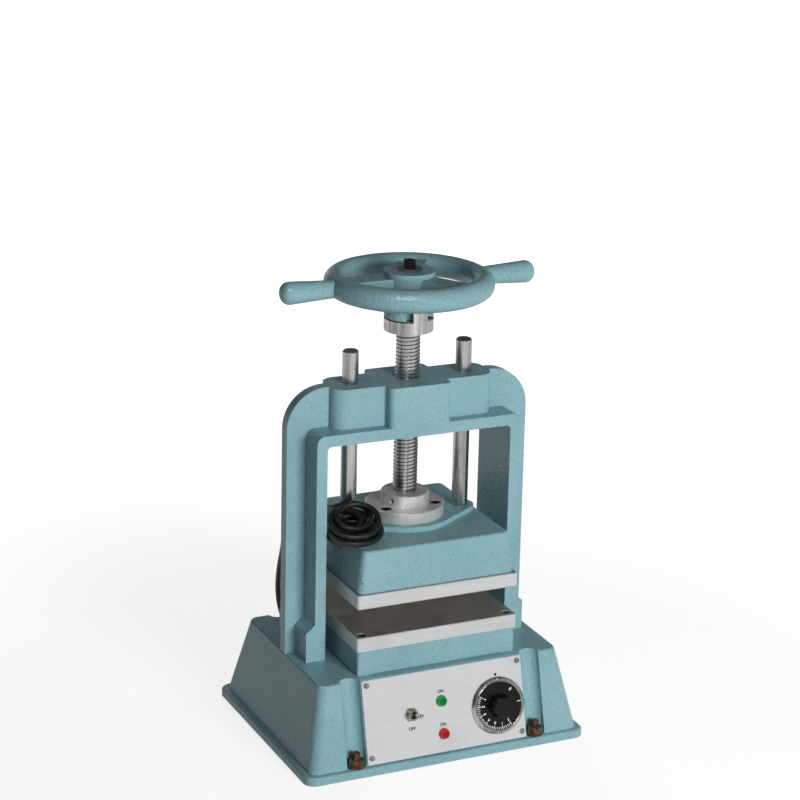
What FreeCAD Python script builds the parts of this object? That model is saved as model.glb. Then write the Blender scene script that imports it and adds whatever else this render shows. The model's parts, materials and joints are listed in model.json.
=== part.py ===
"""Rubber mold vulcanizer: a bench heat press with a screw, two heated plates and a slanted control panel.

Millimetres. +X is the operator's right, -Y the front and +Z up.
The origin is the centre of the base's underside.
"""
import FreeCAD, Part
import math
import os
import re
import Sketcher

# Driving dimensions: name, millimetres or degrees, what it measures.
SIZES = [
    # base casting
    ("base_body_width", 342, "width of the walls where they meet the flange"),
    ("base_body_depth", 274, "depth of the walls where they meet the flange"),
    ("base_top_depth", 224, "depth of the top"),
    ("base_height", 106, "underside to top"),
    ("base_corner", 12, "corner radius of the walls in plan"),
    ("base_rounding", 3, "rounding of the top's edge"),
    ("base_wall", 8, "wall thickness"),
    ("base_top_wall", 8, "thickness of the top"),
    ("flange_reach", 7, "foot flange beyond the walls, all round"),
    ("flange_thickness", 10, "thickness of the foot flange"),
    ("flange_corner", 14, "corner radius of the flange in plan"),
    ("flange_rounding", 3, "rounding of the flange's upper edge"),
    # hold-down studs in their half-round channels
    ("stud_spacing_width", 229, "left stud to right stud"),
    ("stud_inset", 3, "stud's axis inside the foot of the front or rear wall"),
    ("stud_diameter", 10, "hold-down stud"),
    ("stud_hole", 11, "clearance hole in the flange"),
    ("stud_top", 29, "top of the stud above the underside"),
    ("stud_end", 9, "stud's free end above its nut"),
    ("channel_radius", 12, "half-round channel over each stud"),
    ("channel_wall", 6, "casting wall behind a channel"),
    ("washer_diameter", 18, "hold-down washer"),
    ("washer_thickness", 2, "hold-down washer"),
    ("nut_across_flats", 16, "hold-down nut"),
    ("nut_height", 8.4, "hold-down nut"),
    # bottom cover
    ("cover_thickness", 2, "bottom cover plate"),
    ("cover_inset", 12, "inner wall to the mouth in the underside"),
    ("cover_ledge", 4, "ledge round the mouth that the cover rests on"),
    ("cover_gap", 0.5, "gap round the cover"),
    ("cover_lug_radius", 9, "tapped lug in each corner"),
    ("cover_lug_height", 14, "height of a lug"),
    ("cover_screw_inset", 7, "cover screw from the cavity's wall"),
    ("cover_screw_head", 7.6, "countersunk head of a cover screw"),
    ("cover_screw_length", 10, "cover screw"),
    ("small_screw", 4, "thread of the small screws"),
    ("screw_gap", 0.1, "radial gap round a screw's shank"),
    ("end_room", 1, "hole beyond the end of what it takes"),
    # control panel on the slanted front
    ("panel_width", 203, "aluminium panel"),
    ("panel_height", 97.5, "along the slope"),
    ("panel_thickness", 2, "aluminium panel"),
    ("panel_top", 0.8, "top edge of the base to the panel, along the slope"),
    ("panel_corner", 2, "corner radius of the panel"),
    ("window_width", 170, "opening behind the panel"),
    ("window_height", 74, "opening behind the panel, along the slope"),
    ("panel_screw_spacing", 192.4, "left panel screw to right"),
    ("panel_screw_upper", 6.5, "upper panel screws, down the slope"),
    ("panel_screw_lower", 90.7, "lower panel screws, down the slope"),
    ("panel_screw_head", 6.6, "head of a panel screw"),
    ("panel_screw_head_height", 1.8, "head of a panel screw"),
    ("panel_screw_length", 7, "shank of a panel screw"),
    ("fit_gap", 0.1, "radial gap of a part held in a panel hole"),
    # toggle switch
    ("switch_x", -43.4, "switch across the panel"),
    ("switch_drop", 48.2, "switch down the slope"),
    ("switch_width", 28, "switch housing"),
    ("switch_height", 18, "switch housing"),
    ("switch_depth", 24, "switch housing behind the panel"),
    ("bushing_diameter", 12, "threaded bushing"),
    ("bushing_height", 11, "bushing in front of the panel's back"),
    ("bushing_bore", 8, "bore for the lever's ball"),
    ("bushing_bore_depth", 12, "depth of that bore"),
    ("switch_nut_flats", 15, "dress nut across flats"),
    ("switch_nut_height", 3, "dress nut"),
    ("lever_pivot", 5, "lever's pivot in front of the panel's back"),
    ("lever_ball", 7.2, "ball at the lever's pivot"),
    ("lever_length", 21, "pivot to the lever's tip"),
    ("lever_neck", 3.2, "lever at the ball"),
    ("lever_tip", 5.6, "lever at its tip"),
    ("lever_tilt", 12, "degrees off the panel's normal, either way"),
    # pilot lamps
    ("lamp_x", -4, "lamps across the panel"),
    ("power_lamp_drop", 38.6, "green lamp down the slope"),
    ("heat_lamp_drop", 77.2, "red lamp down the slope"),
    ("lens_diameter", 11.6, "coloured lens"),
    ("lens_height", 5.2, "lens in front of the panel"),
    ("lens_crown", 1.2, "rounding of the lens"),
    ("lamp_hole", 9.6, "hole in the panel"),
    ("lamp_depth", 26, "lamp housing behind the panel"),
    ("lamp_ring", 14, "push-on ring behind the panel"),
    ("lamp_ring_height", 1.6, "push-on ring"),
    ("lamp_wall", 1.2, "wall of the lamp housing round the lens"),
    # thermostat and its dial
    ("dial_x", 67.5, "dial across the panel"),
    ("dial_drop", 55.4, "dial down the slope"),
    ("bezel_diameter", 68, "bright ring round the dial"),
    ("bezel_width", 5.2, "width of the ring's face"),
    ("bezel_height", 4.6, "ring in front of the panel"),
    ("disc_gap", 0.4, "radial gap between dial disc and ring"),
    ("disc_lift", 2.6, "dial disc in front of the panel"),
    ("disc_thickness", 1.6, "dial disc"),
    ("knob_base", 15.5, "radius of the six-sided grip at the disc"),
    ("knob_top", 13, "radius of the grip at its face"),
    ("knob_height", 14, "grip in front of the disc"),
    ("knob_rounding", 1.2, "rounding of the grip"),
    ("dial_shaft", 6, "thermostat's shaft"),
    ("dial_shaft_length", 12, "shaft in front of the panel"),
    ("thermostat_collar", 10, "thermostat's collar through the panel"),
    ("thermostat_width", 32, "thermostat housing"),
    ("thermostat_height", 40, "thermostat housing, along the slope"),
    ("thermostat_depth", 26, "thermostat housing behind the panel"),
    ("thermostat_screw_spacing", 28, "its two mounting screws"),
    ("bulb_diameter", 6, "sensing bulb in the lower heat plate"),
    ("bulb_length", 80, "sensing bulb"),
    ("capillary_lead", 16, "bulb's end to the bend of its tube"),
    ("bulb_gap", 0.2, "radial gap in the bulb's groove"),
    ("capillary_diameter", 2, "tube from thermostat to bulb"),
    ("capillary_hole", 6, "holes that the tube passes"),
    # lower platen
    ("block_size", 201, "lower platen block, square"),
    ("block_height", 29.5, "lower platen block"),
    ("block_corner", 6, "corner radius in plan"),
    ("block_wall", 8, "wall thickness"),
    ("block_top_wall", 9, "thickness of the top"),
    ("block_groove", 1.5, "shadow groove over the base, height and depth"),
    ("block_boss_radius", 10, "bosses for the block's screws"),
    ("block_boss_inset", 2, "corner bosses, inwards of the plate screws"),
    ("boss_corner", 3, "corner radius of the corner bosses"),
    ("block_screw_spacing", 120, "block screws, both ways"),
    ("block_screw", 8, "thread of the block screws"),
    ("plate_size", 203, "heat plates, square"),
    ("plate_corner", 3, "corner radius of the heat plates"),
    ("plate_edge", 0.8, "chamfer of the heat plates"),
    ("lower_plate_thickness", 17.5, "lower heat plate"),
    ("upper_plate_thickness", 17, "upper heat plate"),
    ("heater_pocket", 160, "pocket for heater and insulation, square"),
    ("heater_gap", 2, "gap round the heater"),
    ("heater_thickness", 4, "flat heater"),
    ("insulation_thickness", 4, "insulation sheet"),
    ("plate_screw_spacing", 184.5, "plate screws, both ways"),
    ("plate_screw", 6, "thread of the plate screws"),
    ("plate_screw_head", 10, "head of a plate screw"),
    ("plate_screw_head_height", 6, "head of a plate screw"),
    ("counterbore_depth", 6.6, "counterbore of a plate screw"),
    ("plate_screw_grip", 12, "thread in the casting"),
    ("platen_gap", 35, "open height between the heat plates"),
    # upper platen casting
    ("casting_bottom_width", 197, "upper casting at the plate"),
    ("casting_bottom_depth", 195, "upper casting at the plate"),
    ("casting_side_draft", 6.5, "upper casting, each side leans in by"),
    ("casting_front_draft", 3.5, "upper casting, front and rear lean in by"),
    ("casting_height", 49.5, "upper casting"),
    ("casting_corner", 8, "corner radius in plan"),
    ("casting_rounding", 3, "rounding of its upper edge"),
    ("casting_wall", 8, "wall thickness"),
    ("casting_top_wall", 12, "thickness of its top"),
    ("casting_boss_radius", 12, "bosses for the plate screws"),
    ("casting_boss_height", 20, "height of those bosses"),
    ("casting_boss_inset", 9, "those bosses, inwards of the plate screws"),
    ("pad_height", 6, "raised oval pad"),
    ("pad_radius", 56.5, "middle of the pad"),
    ("pad_end_radius", 17, "ends of the pad, round the guide rods"),
    ("thrust_boss_radius", 28, "boss under the screw"),
    ("thrust_boss_height", 20, "that boss below the casting's top wall"),
    ("thrust_pad_diameter", 32, "bronze pad under the screw's nose"),
    ("thrust_pad_thickness", 5, "bronze pad"),
    ("thrust_pad_top", 248, "top of the bronze pad above the underside"),
    # guide rods
    ("rod_spacing", 144, "left guide rod to right"),
    ("rod_diameter", 19, "guide rod"),
    ("rod_top", 466.5, "top of the rods above the underside"),
    ("rod_chamfer", 1.5, "chamfer at the rod's top"),
    ("rod_shank", 12, "reduced end through the casting"),
    ("rod_nut_flats", 19, "nut under the casting's top"),
    ("rod_nut_height", 10, "nut under the casting's top"),
    ("rod_end_out", 2, "rod's end below its nut"),
    ("running_gap", 0.05, "radial gap of rods, screw and wheel in their bores"),
    # press frame
    ("frame_width", 305, "across the columns"),
    ("frame_overhang", 0.5, "each column beyond the base's top"),
    ("frame_top", 427.5, "top of the crosshead above the underside"),
    ("frame_shoulder", 48, "radius of the frame's shoulders"),
    ("web_thickness", 15, "upright web of the frame"),
    ("opening_width", 232, "between the columns"),
    ("opening_top", 366.5, "underside of the crosshead"),
    ("opening_corner", 5, "inner corners of the opening"),
    ("rib_width", 258, "across the rib that borders the opening"),
    ("rib_top", 380, "top of that rib"),
    ("rib_depth", 83, "front to back"),
    ("rib_corner", 10, "outer corners of the rib"),
    ("foot_width", 280, "across the widened feet"),
    ("foot_top", 142, "top of a foot's outer face"),
    ("foot_blend", 9, "height of the slope from foot to rib"),
    ("screw_boss_width", 77, "crosshead boss for the screw"),
    ("screw_boss_depth", 84, "crosshead boss for the screw"),
    ("screw_boss_corner", 7, "corner radius in plan"),
    ("rod_boss_width", 202, "across both guide-rod bosses"),
    ("rod_boss_depth", 54, "guide-rod bosses"),
    ("rod_boss_corner", 18, "corner radius in plan"),
    ("foot_bolt_spacing_width", 256, "left frame bolts to right"),
    ("foot_bolt_spacing_depth", 50, "front frame bolts to rear"),
    ("foot_bolt", 10, "frame bolt"),
    ("foot_bolt_grip", 24, "thread in a foot"),
    ("bolt_head_flats", 17, "head of a frame bolt"),
    ("bolt_head_height", 7, "head of a frame bolt"),
    # lead screw and its retainer
    ("screw_diameter", 28.6, "lead screw"),
    ("screw_shoulder", 484.5, "shoulder under the dog collar"),
    ("screw_nose", 18, "nose on the thrust pad"),
    ("nose_length", 8, "nose"),
    ("nose_gap", 0.3, "nose above the thrust pad"),
    ("journal_diameter", 22, "journal for collar and handwheel"),
    ("journal_top", 555.8, "top of the journal above the underside"),
    ("groove_diameter", 22, "groove for the set screws' points"),
    ("groove_height", 7, "groove"),
    ("retainer_diameter", 93, "retainer flange"),
    ("retainer_thickness", 13.5, "retainer flange"),
    ("hub_diameter", 56.5, "retainer hub"),
    ("hub_height", 14, "retainer hub above the flange"),
    ("retainer_edge", 1, "chamfer of flange and hub"),
    ("retainer_circle", 73, "pitch circle of its socket screws"),
    ("retainer_screw_angle", -150, "degrees from +X to the first socket screw"),
    ("retainer_screw", 8, "thread of its socket screws"),
    ("retainer_screw_head", 13, "head of its socket screws"),
    ("retainer_screw_head_height", 8, "head of its socket screws"),
    ("retainer_counterbore", 8.6, "depth of the counterbores"),
    ("retainer_screw_grip", 16, "thread in the casting"),
    ("set_screw", 6, "radial set screws"),
    ("set_screw_length", 12, "radial set screws"),
    ("set_screw_angle", -147, "degrees from +X to the first set screw"),
    ("set_screw_point", 3.6, "dog point in the groove"),
    ("point_gap", 0.4, "dog point to the bottom of the groove"),
    # dog collar
    ("collar_diameter", 58, "dog collar"),
    ("collar_height", 14.5, "dog collar below its dogs"),
    ("dog_height", 12.3, "dogs above the collar"),
    ("dog_inner_radius", 17.2, "inside of a dog"),
    ("dog_sweep", 37, "degrees that a dog spans"),
    ("dog_angle", -84.5, "degrees from +X to the first dog's middle"),
    ("pin_diameter", 6, "pin through collar and screw"),
    ("pin_gap", 0.03, "radial gap of the pin"),
    ("pin_recess", 0.5, "pin's ends inside the collar"),
    # handwheel
    ("rim_radius", 85.5, "centre of the rim's section"),
    ("rim_section", 13.5, "radius of the rim's section"),
    ("rim_height", 540.5, "rim above the underside"),
    ("handle_reach", 159, "handle's tip from the axis"),
    ("handle_root", 10, "handle's radius at the rim"),
    ("handle_end", 14, "handle's radius near its tip"),
    ("handle_rounding", 11, "rounding of the handle's tip"),
    ("spoke_width", 26, "spoke"),
    ("spoke_thickness", 10, "spoke"),
    ("spoke_top", 549, "top of the spokes above the underside"),
    ("spoke_root", 4, "spoke's reach into the hub"),
    ("spoke_corner", 2, "rounding of a spoke's ends in plan"),
    ("hub_disc_radius", 30, "disc on top of the wheel's hub"),
    ("hub_disc_thickness", 6, "disc on top of the wheel's hub"),
    ("hub_top", 555.5, "top of the hub above the underside"),
    ("hub_cone", 3, "height of the slope under the hub's disc"),
    ("barrel_radius", 18.5, "hub between its disc and its cup"),
    ("sleeve_radius", 16.5, "hub inside the dogs"),
    ("cup_radius", 29, "driving cup"),
    ("cup_thickness", 6, "driving cup's floor"),
    ("dog_clearance", 3.5, "dogs' tops to the cup's floor"),
    ("lug_sweep", 90, "degrees that a lug spans"),
    ("lug_angle", 15, "degrees from +X to the first lug's middle"),
    ("lug_gap", 1.5, "lugs to the dog collar"),
    ("hub_gap", 0.3, "end gaps of the hub"),
    # washer and screw on top of the wheel
    ("cap_washer_diameter", 28.5, "washer"),
    ("cap_washer_thickness", 2.5, "washer"),
    ("cap_screw", 8, "thread of the cap screw"),
    ("cap_screw_length", 20, "shank of the cap screw"),
    ("cap_head", 13.5, "head of the cap screw"),
    ("cap_head_height", 8.6, "head of the cap screw"),
    ("cap_socket", 6, "hexagon socket across flats"),
    ("cap_socket_depth", 4, "hexagon socket"),
    # terminal block
    ("terminal_length", 60, "terminal block"),
    ("terminal_width", 22, "terminal block"),
    ("terminal_height", 16, "terminal block"),
    ("terminal_screw_spacing", 46, "its two screws"),
    ("terminal_y", -10, "terminal block's centre"),
    # glands, strain relief and mains cord
    ("cord_diameter", 6.6, "mains cord"),
    ("cord_exit_x", -83, "strain relief on the rear face"),
    ("cord_exit_height", 60, "strain relief above the underside"),
    ("relief_flange", 18, "strain relief's flange"),
    ("relief_flange_thickness", 4, "strain relief's flange"),
    ("relief_neck", 12, "strain relief at its flange"),
    ("relief_length", 30, "strain relief outside the wall"),
    ("relief_tip", 9, "strain relief at its tip"),
    ("cord_lead", 18.6, "cord straight on from the strain relief"),
    ("gland_hole", 13, "holes for strain relief and glands"),
    ("gland_flats", 19, "gland's hexagon"),
    ("gland_hexagon_height", 6, "gland's hexagon"),
    ("gland_dome", 14, "gland's dome nut"),
    ("gland_length", 16, "gland outside the wall"),
    ("gland_taper", 2, "dome's radius lost towards its end"),
    ("gland_bore", 7, "bore for a lead"),
    ("base_gland_x", 60, "gland of the upper heater's lead, on the base"),
    ("upper_gland_x", 50, "gland of the same lead, on the upper casting"),
    ("upper_gland_drop", 24, "that gland below the casting's top"),
    ("coil_x", -81.5, "middle of the cord's turns"),
    ("coil_y", -41, "middle of the turns, in front of the left guide rod"),
    ("coil_radius", 31.3, "outside of the turns"),
    ("coil_inner_radius", 14.5, "inside of the turns"),
    ("coil_height", 26.5, "height of the turns where they lean on the guide rod"),
    ("coil_slope", 16, "fall of the turns towards the front, in degrees"),
    ("coil_droop", 16, "turns hanging over the casting's left edge"),
    ("cord_clearance", 0.4, "turns to the metal beside them"),
    ("cord_join_x", -105, "where the rising cord meets the turns"),
    ("cord_join_y", 21, "where the rising cord meets the turns"),
    ("cord_join_z", 268, "where the rising cord meets the turns"),
    ("plug_width", 24, "moulded plug"),
    ("plug_length", 34, "moulded plug"),
    ("plug_height", 22, "moulded plug"),
    ("plug_x", -86, "plug's centre"),
    ("plug_y", 75, "plug's centre"),
    ("plug_corner", 6, "rounding of the plug"),
    ("blade_length", 17.5, "plug's flat blades"),
    ("blade_width", 6.3, "plug's flat blades"),
    ("blade_thickness", 1.5, "plug's flat blades"),
    ("blade_spacing", 12.7, "plug's flat blades"),
    ("earth_pin", 4.8, "plug's round earth pin"),
    ("earth_pin_length", 18.5, "plug's round earth pin"),
]

BASE_TOP_WIDTH = "(frame_width - 2*frame_overhang)"
FLANGE_WIDTH = "(base_body_width + 2*flange_reach)"
FLANGE_DEPTH = "(base_body_depth + 2*flange_reach)"
STUD_REACH = "(base_body_depth/2 - stud_inset)"
CASTING_TOP_WIDTH = "(casting_bottom_width - 2*casting_side_draft)"
CASTING_TOP_DEPTH = "(casting_bottom_depth - 2*casting_front_draft)"
FACE_ANGLE = "atan((base_body_depth - base_top_depth)/2/(base_height - flange_thickness))"
BLOCK_TOP = "(base_height + block_height)"
LOWER_PLATE_TOP = "(base_height + block_height + lower_plate_thickness)"
UPPER_PLATE_BOTTOM = "(base_height + block_height + lower_plate_thickness + platen_gap)"
CASTING_BOTTOM = "(base_height + block_height + lower_plate_thickness + platen_gap + upper_plate_thickness)"
CASTING_TOP = "({} + casting_height)".format(CASTING_BOTTOM)
NUT_TOP = "(flange_thickness + washer_thickness + nut_height)"
PAD_TOP = "({} + pad_height)".format(CASTING_TOP)
CEILING = "({} - casting_top_wall)".format(CASTING_TOP)
RETAINER_TOP = "({} + retainer_thickness)".format(PAD_TOP)
HUB_TOP = "({} + hub_height)".format(RETAINER_TOP)
GROOVE_MIDDLE = "({} + hub_height/2)".format(RETAINER_TOP)
COLLAR_TOP = "(screw_shoulder + collar_height)"
DOG_TOP = "({} + dog_height)".format(COLLAR_TOP)
CUP_FLOOR = "({} + dog_clearance)".format(DOG_TOP)
PIN_HEIGHT = "(screw_shoulder + collar_height/2)"
CAVITY_WIDTH = "(base_body_width - 2*base_wall)"
CAVITY_DEPTH = "(base_body_depth - 2*base_wall)"
CAVITY_CORNER = "(base_corner - base_wall/2)"
MOUTH_WIDTH = "({} - 2*cover_inset)".format(CAVITY_WIDTH)
MOUTH_DEPTH = "({} - 2*cover_inset)".format(CAVITY_DEPTH)
COVER_SCREW_X = "({}/2 - cover_screw_inset)".format(MOUTH_WIDTH)
COVER_SCREW_Y = "({}/2 - cover_screw_inset)".format(MOUTH_DEPTH)
WINDOW_CENTRE = "(panel_top + panel_height/2)"
PANEL_SCREW_DROPS = ("panel_screw_upper", "panel_screw_lower")
GLAND_DROP = "(base_height - cord_exit_height)/cos({})".format(FACE_ANGLE)
BULB_HEIGHT = "({} + heater_thickness + insulation_thickness + bulb_diameter/2 + bulb_gap)".format(BLOCK_TOP)
CAPILLARY_Y = "(bulb_length/2 + capillary_lead)"
POCKET_DEPTH = "(heater_thickness + insulation_thickness)"
HEATER_SIZE = "(heater_pocket - 2*heater_gap)"
# How far cutters pass the faces they open, and how far joined shapes reach into each other.
OVERCUT = 2
OVERLAP = 1

X_AXIS = FreeCAD.Vector(1, 0, 0)
Y_AXIS = FreeCAD.Vector(0, 1, 0)
Z_AXIS = FreeCAD.Vector(0, 0, 1)
QUADRANTS = [(-1, -1), (1, -1), (1, 1), (-1, 1)]
SIDES = (-1, 1)

doc = FreeCAD.newDocument("mold_vulcanizer")
sheet = doc.addObject("Spreadsheet::Sheet", "sizes")
pieces = []


def fill_sheet():
    """Put every driving dimension in the sheet, with its name as alias."""
    for row, (alias, value, note) in enumerate(SIZES, start=1):
        sheet.set("A{}".format(row), alias)
        sheet.set("B{}".format(row), str(value))
        sheet.set("C{}".format(row), note)
        sheet.setAlias("B{}".format(row), alias)
    doc.recompute()


ALIASES = re.compile(r"\b(" + "|".join(alias for alias, value, note in SIZES) + r")\b")


def linked(formula):
    """A formula of dimension names as an expression on the sheet."""
    return ALIASES.sub(r"sizes.\1", str(formula))


def number(formula):
    """What a formula is worth now."""
    value = sheet.evalExpression(str(formula))
    return float(getattr(value, "Value", value))


def bind(item, **formulas):
    """Tie properties to formulas."""
    for name, formula in formulas.items():
        item.setExpression(name, linked(formula))
    return item


def place(item, x=0, y=0, z=0):
    """Tie an object's place to formulas."""
    for axis, formula in (("x", x), ("y", y), ("z", z)):
        item.setExpression("Placement.Base." + axis, linked(formula))
    return item


def turn(item, axis, formula):
    """Turn an object about an axis through its own origin, by degrees."""
    item.Placement = FreeCAD.Placement(item.Placement.Base, FreeCAD.Rotation(axis, 1))
    item.setExpression("Placement.Rotation.Angle", linked("1 deg*({})".format(formula)))
    return item


def on_face(item, across, down, out=0, front=-1):
    """Set an object on the slanted front (or rear) face, its own +Z pointing out of it."""
    angle = FACE_ANGLE
    y = "base_top_depth/2 + ({})*sin({}) + ({})*cos({})".format(down, angle, out, angle)
    z = "base_height - ({})*cos({}) + ({})*sin({})".format(down, angle, out, angle)
    item.Placement = FreeCAD.Placement(FreeCAD.Vector(), FreeCAD.Rotation(X_AXIS, 1))
    item.setExpression("Placement.Rotation.Angle", linked("{}*(90 deg - {})".format(-front, angle)))
    return place(item, across, "{}*({})".format(front, y), z)


def keep(item, label):
    """Name a finished piece and list it for export."""
    item.Label = label
    pieces.append(item)
    return item


# Part primitives and booleans

def cylinder(radius, height, x=0, y=0, z=0):
    """An upright cylinder on the point x, y, z."""
    item = doc.addObject("Part::Cylinder", "cylinder")
    return place(bind(item, Radius=radius, Height=height), x, y, z)


def cone(low_radius, high_radius, height, x=0, y=0, z=0):
    """An upright cone on the point x, y, z."""
    item = doc.addObject("Part::Cone", "cone")
    return place(bind(item, Radius1=low_radius, Radius2=high_radius, Height=height), x, y, z)


def box(length, width, height, x=0, y=0, z=0):
    """A box centred on x and y, standing on z."""
    item = doc.addObject("Part::Box", "box")
    bind(item, Length=length, Width=width, Height=height)
    return place(item, "({}) - ({})/2".format(x, length), "({}) - ({})/2".format(y, width), z)


def sphere(radius):
    """A ball on the origin."""
    return bind(doc.addObject("Part::Sphere", "sphere"), Radius=radius)


def hexagon(flats, height, x=0, y=0, z=0):
    """A hexagonal prism, measured across its flats."""
    item = doc.addObject("Part::Prism", "hexagon")
    item.Polygon = 6
    return place(bind(item, Circumradius="({})/2/cos(30)".format(flats), Height=height), x, y, z)


def fuse(*items):
    """One solid from several."""
    item = doc.addObject("Part::MultiFuse", "fusion")
    item.Shapes = list(items)
    return item


def cut(base, *tools):
    """The base without its tools."""
    item = doc.addObject("Part::Cut", "difference")
    item.Base = base
    item.Tool = tools[0] if len(tools) == 1 else fuse(*tools)
    return item


def common(first, second):
    """What two solids share."""
    item = doc.addObject("Part::Common", "intersection")
    item.Base = first
    item.Tool = second
    return item


def group(items):
    """Several separate solids kept together."""
    item = doc.addObject("Part::Compound", "group")
    item.Links = list(items)
    return item


def screw(head_radius, head_height, shank_radius, shank_length):
    """A plain screw: head above its origin, shank below."""
    head = cylinder(head_radius, head_height)
    shank = cylinder(shank_radius, "({}) + ({})/2".format(shank_length, head_height),
                     z="-({})".format(shank_length))
    return fuse(head, shank)


def bolt(flats, head_height, shank_radius, shank_length):
    """A plain hexagon bolt: head below its origin, shank above."""
    head = hexagon(flats, head_height, z="-({})".format(head_height))
    shank = cylinder(shank_radius, "({}) + ({})/2".format(shank_length, head_height),
                     z="-({})/2".format(head_height))
    return fuse(head, shank)


# Sketches and features

def body(name):
    """An empty body."""
    return doc.addObject("PartDesign::Body", name)


def sketch(part, plane, lift=0, slide=0):
    """A sketch on one of the body's own planes; lift is along the plane's normal, slide along its y."""
    item = part.newObject("Sketcher::SketchObject", "profile")
    base = [feature for feature in part.Origin.OriginFeatures if feature.Role == plane][0]
    item.AttachmentSupport = [(base, "")]
    item.MapMode = "FlatFace"
    item.setExpression("AttachmentOffset.Base.z", linked(lift))
    item.setExpression("AttachmentOffset.Base.y", linked(slide))
    return item


def tie(profile, kind, name, geometry, formula):
    """Add one driving dimension to a sketch and bind it."""
    index = profile.addConstraint(Sketcher.Constraint(kind, *geometry, number(formula)))
    profile.renameConstraint(index, name)
    profile.setExpression("Constraints." + name, linked(formula))


def fix_point(profile, geometry, end, x, y):
    """Hold a point of a sketch at x, y."""
    tag = "{}_{}".format(geometry, end)
    tie(profile, "DistanceX", "x" + tag, (-1, 1, geometry, end), x)
    tie(profile, "DistanceY", "y" + tag, (-1, 1, geometry, end), y)


def polygon(profile, corners):
    """A closed outline of straight lines through the corners."""
    first = profile.GeometryCount
    points = [FreeCAD.Vector(number(x), number(y), 0) for x, y in corners]
    count = len(corners)
    for index in range(count):
        profile.addGeometry(Part.LineSegment(points[index], points[(index + 1) % count]), False)
    for index, (x, y) in enumerate(corners):
        profile.addConstraint(
            Sketcher.Constraint("Coincident", first + index, 1, first + (index - 1) % count, 2))
        fix_point(profile, first + index, 1, x, y)
    return profile


def circle(profile, radius, x=0, y=0):
    """A circle in a sketch."""
    centre = FreeCAD.Vector(number(x), number(y), 0)
    geometry = profile.addGeometry(Part.Circle(centre, Z_AXIS, number(radius)), False)
    fix_point(profile, geometry, 3, x, y)
    tie(profile, "Radius", "radius_{}".format(geometry), (geometry,), radius)
    return profile


def rounded_rectangle(profile, width, height, corner, x=0, y=0):
    """A rectangle with round corners, centred on x, y."""
    first = profile.GeometryCount
    half_x = number(width) / 2
    half_y = number(height) / 2
    radius = number(corner)
    centre = FreeCAD.Vector(number(x), number(y), 0)
    turn_at = []
    for step, (side_x, side_y) in enumerate([(1, 1), (-1, 1), (-1, -1), (1, -1)]):
        middle = centre + FreeCAD.Vector(side_x * (half_x - radius), side_y * (half_y - radius), 0)
        start = step * math.pi / 2
        turn_at.append((middle, start))
        arc = Part.ArcOfCircle(Part.Circle(middle, Z_AXIS, radius), start, start + math.pi / 2)
        profile.addGeometry(arc, False)
    for step in range(4):
        middle, start = turn_at[step]
        after, start_after = turn_at[(step + 1) % 4]
        leave = start + math.pi / 2
        reach = FreeCAD.Vector(math.cos(leave), math.sin(leave), 0) * radius
        profile.addGeometry(Part.LineSegment(middle + reach, after + reach), False)
    for step in range(4):
        line = first + 4 + step
        profile.addConstraint(Sketcher.Constraint("Tangent", first + step, 2, line, 1))
        profile.addConstraint(Sketcher.Constraint("Tangent", line, 2, first + (step + 1) % 4, 1))
        profile.addConstraint(Sketcher.Constraint("Vertical" if step % 2 else "Horizontal", line))
    for step in range(3):
        profile.addConstraint(Sketcher.Constraint("Equal", first + step, first + step + 1))
    tie(profile, "Radius", "corner_{}".format(first), (first,), corner)
    tie(profile, "DistanceY", "top_{}".format(first), (-1, 1, first + 4, 1),
        "({}) + ({})/2".format(y, height))
    tie(profile, "DistanceX", "left_{}".format(first), (-1, 1, first + 5, 1),
        "({}) - ({})/2".format(x, width))
    tie(profile, "DistanceY", "bottom_{}".format(first), (-1, 1, first + 6, 1),
        "({}) - ({})/2".format(y, height))
    tie(profile, "DistanceX", "right_{}".format(first), (-1, 1, first + 7, 1),
        "({}) + ({})/2".format(x, width))
    return profile


def sector(profile, inner, outer, middle, sweep):
    """A sector of a ring about the sketch's origin; middle and sweep in degrees."""
    start = math.radians(number(middle) - number(sweep) / 2)
    end = math.radians(number(middle) + number(sweep) / 2)
    inside = number(inner)
    outside = number(outer)
    rays = [FreeCAD.Vector(math.cos(angle), math.sin(angle), 0) for angle in (start, end)]
    centre = FreeCAD.Vector()
    large = profile.addGeometry(Part.ArcOfCircle(Part.Circle(centre, Z_AXIS, outside), start, end), False)
    small = profile.addGeometry(Part.ArcOfCircle(Part.Circle(centre, Z_AXIS, inside), start, end), False)
    for side, ray in enumerate(rays, start=1):
        line = profile.addGeometry(Part.LineSegment(ray * inside, ray * outside), False)
        profile.addConstraint(Sketcher.Constraint("Coincident", line, 1, small, side))
        profile.addConstraint(Sketcher.Constraint("Coincident", line, 2, large, side))
        profile.addConstraint(Sketcher.Constraint("PointOnObject", -1, 1, line))
        bearing = "({}) {} ({})/2".format(middle, "-+"[side - 1], sweep)
        index = profile.addConstraint(
            Sketcher.Constraint("Angle", -1, 1, line, 1, math.radians(number(bearing))))
        profile.renameConstraint(index, "angle_{}".format(line))
        profile.setExpression("Constraints.angle_{}".format(line), linked("1 deg*({})".format(bearing)))
    for arc, radius in ((large, outer), (small, inner)):
        profile.addConstraint(Sketcher.Constraint("Coincident", arc, 3, -1, 1))
        tie(profile, "Radius", "radius_{}".format(arc), (arc,), radius)
    return profile


def pad(part, profile, length, both=False, down=False):
    """Extrude a sketch."""
    item = part.newObject("PartDesign::Pad", "pad")
    item.Profile = profile
    item.SideType = "Symmetric" if both else "One side"
    item.Reversed = down
    return bind(item, Length=length)


def pocket(part, profile, length, both=False, up=False):
    """Cut a sketch out: downwards from its plane, or upwards."""
    item = part.newObject("PartDesign::Pocket", "pocket")
    item.Profile = profile
    item.SideType = "Symmetric" if both else "One side"
    item.Reversed = up
    return bind(item, Length=length)


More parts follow.
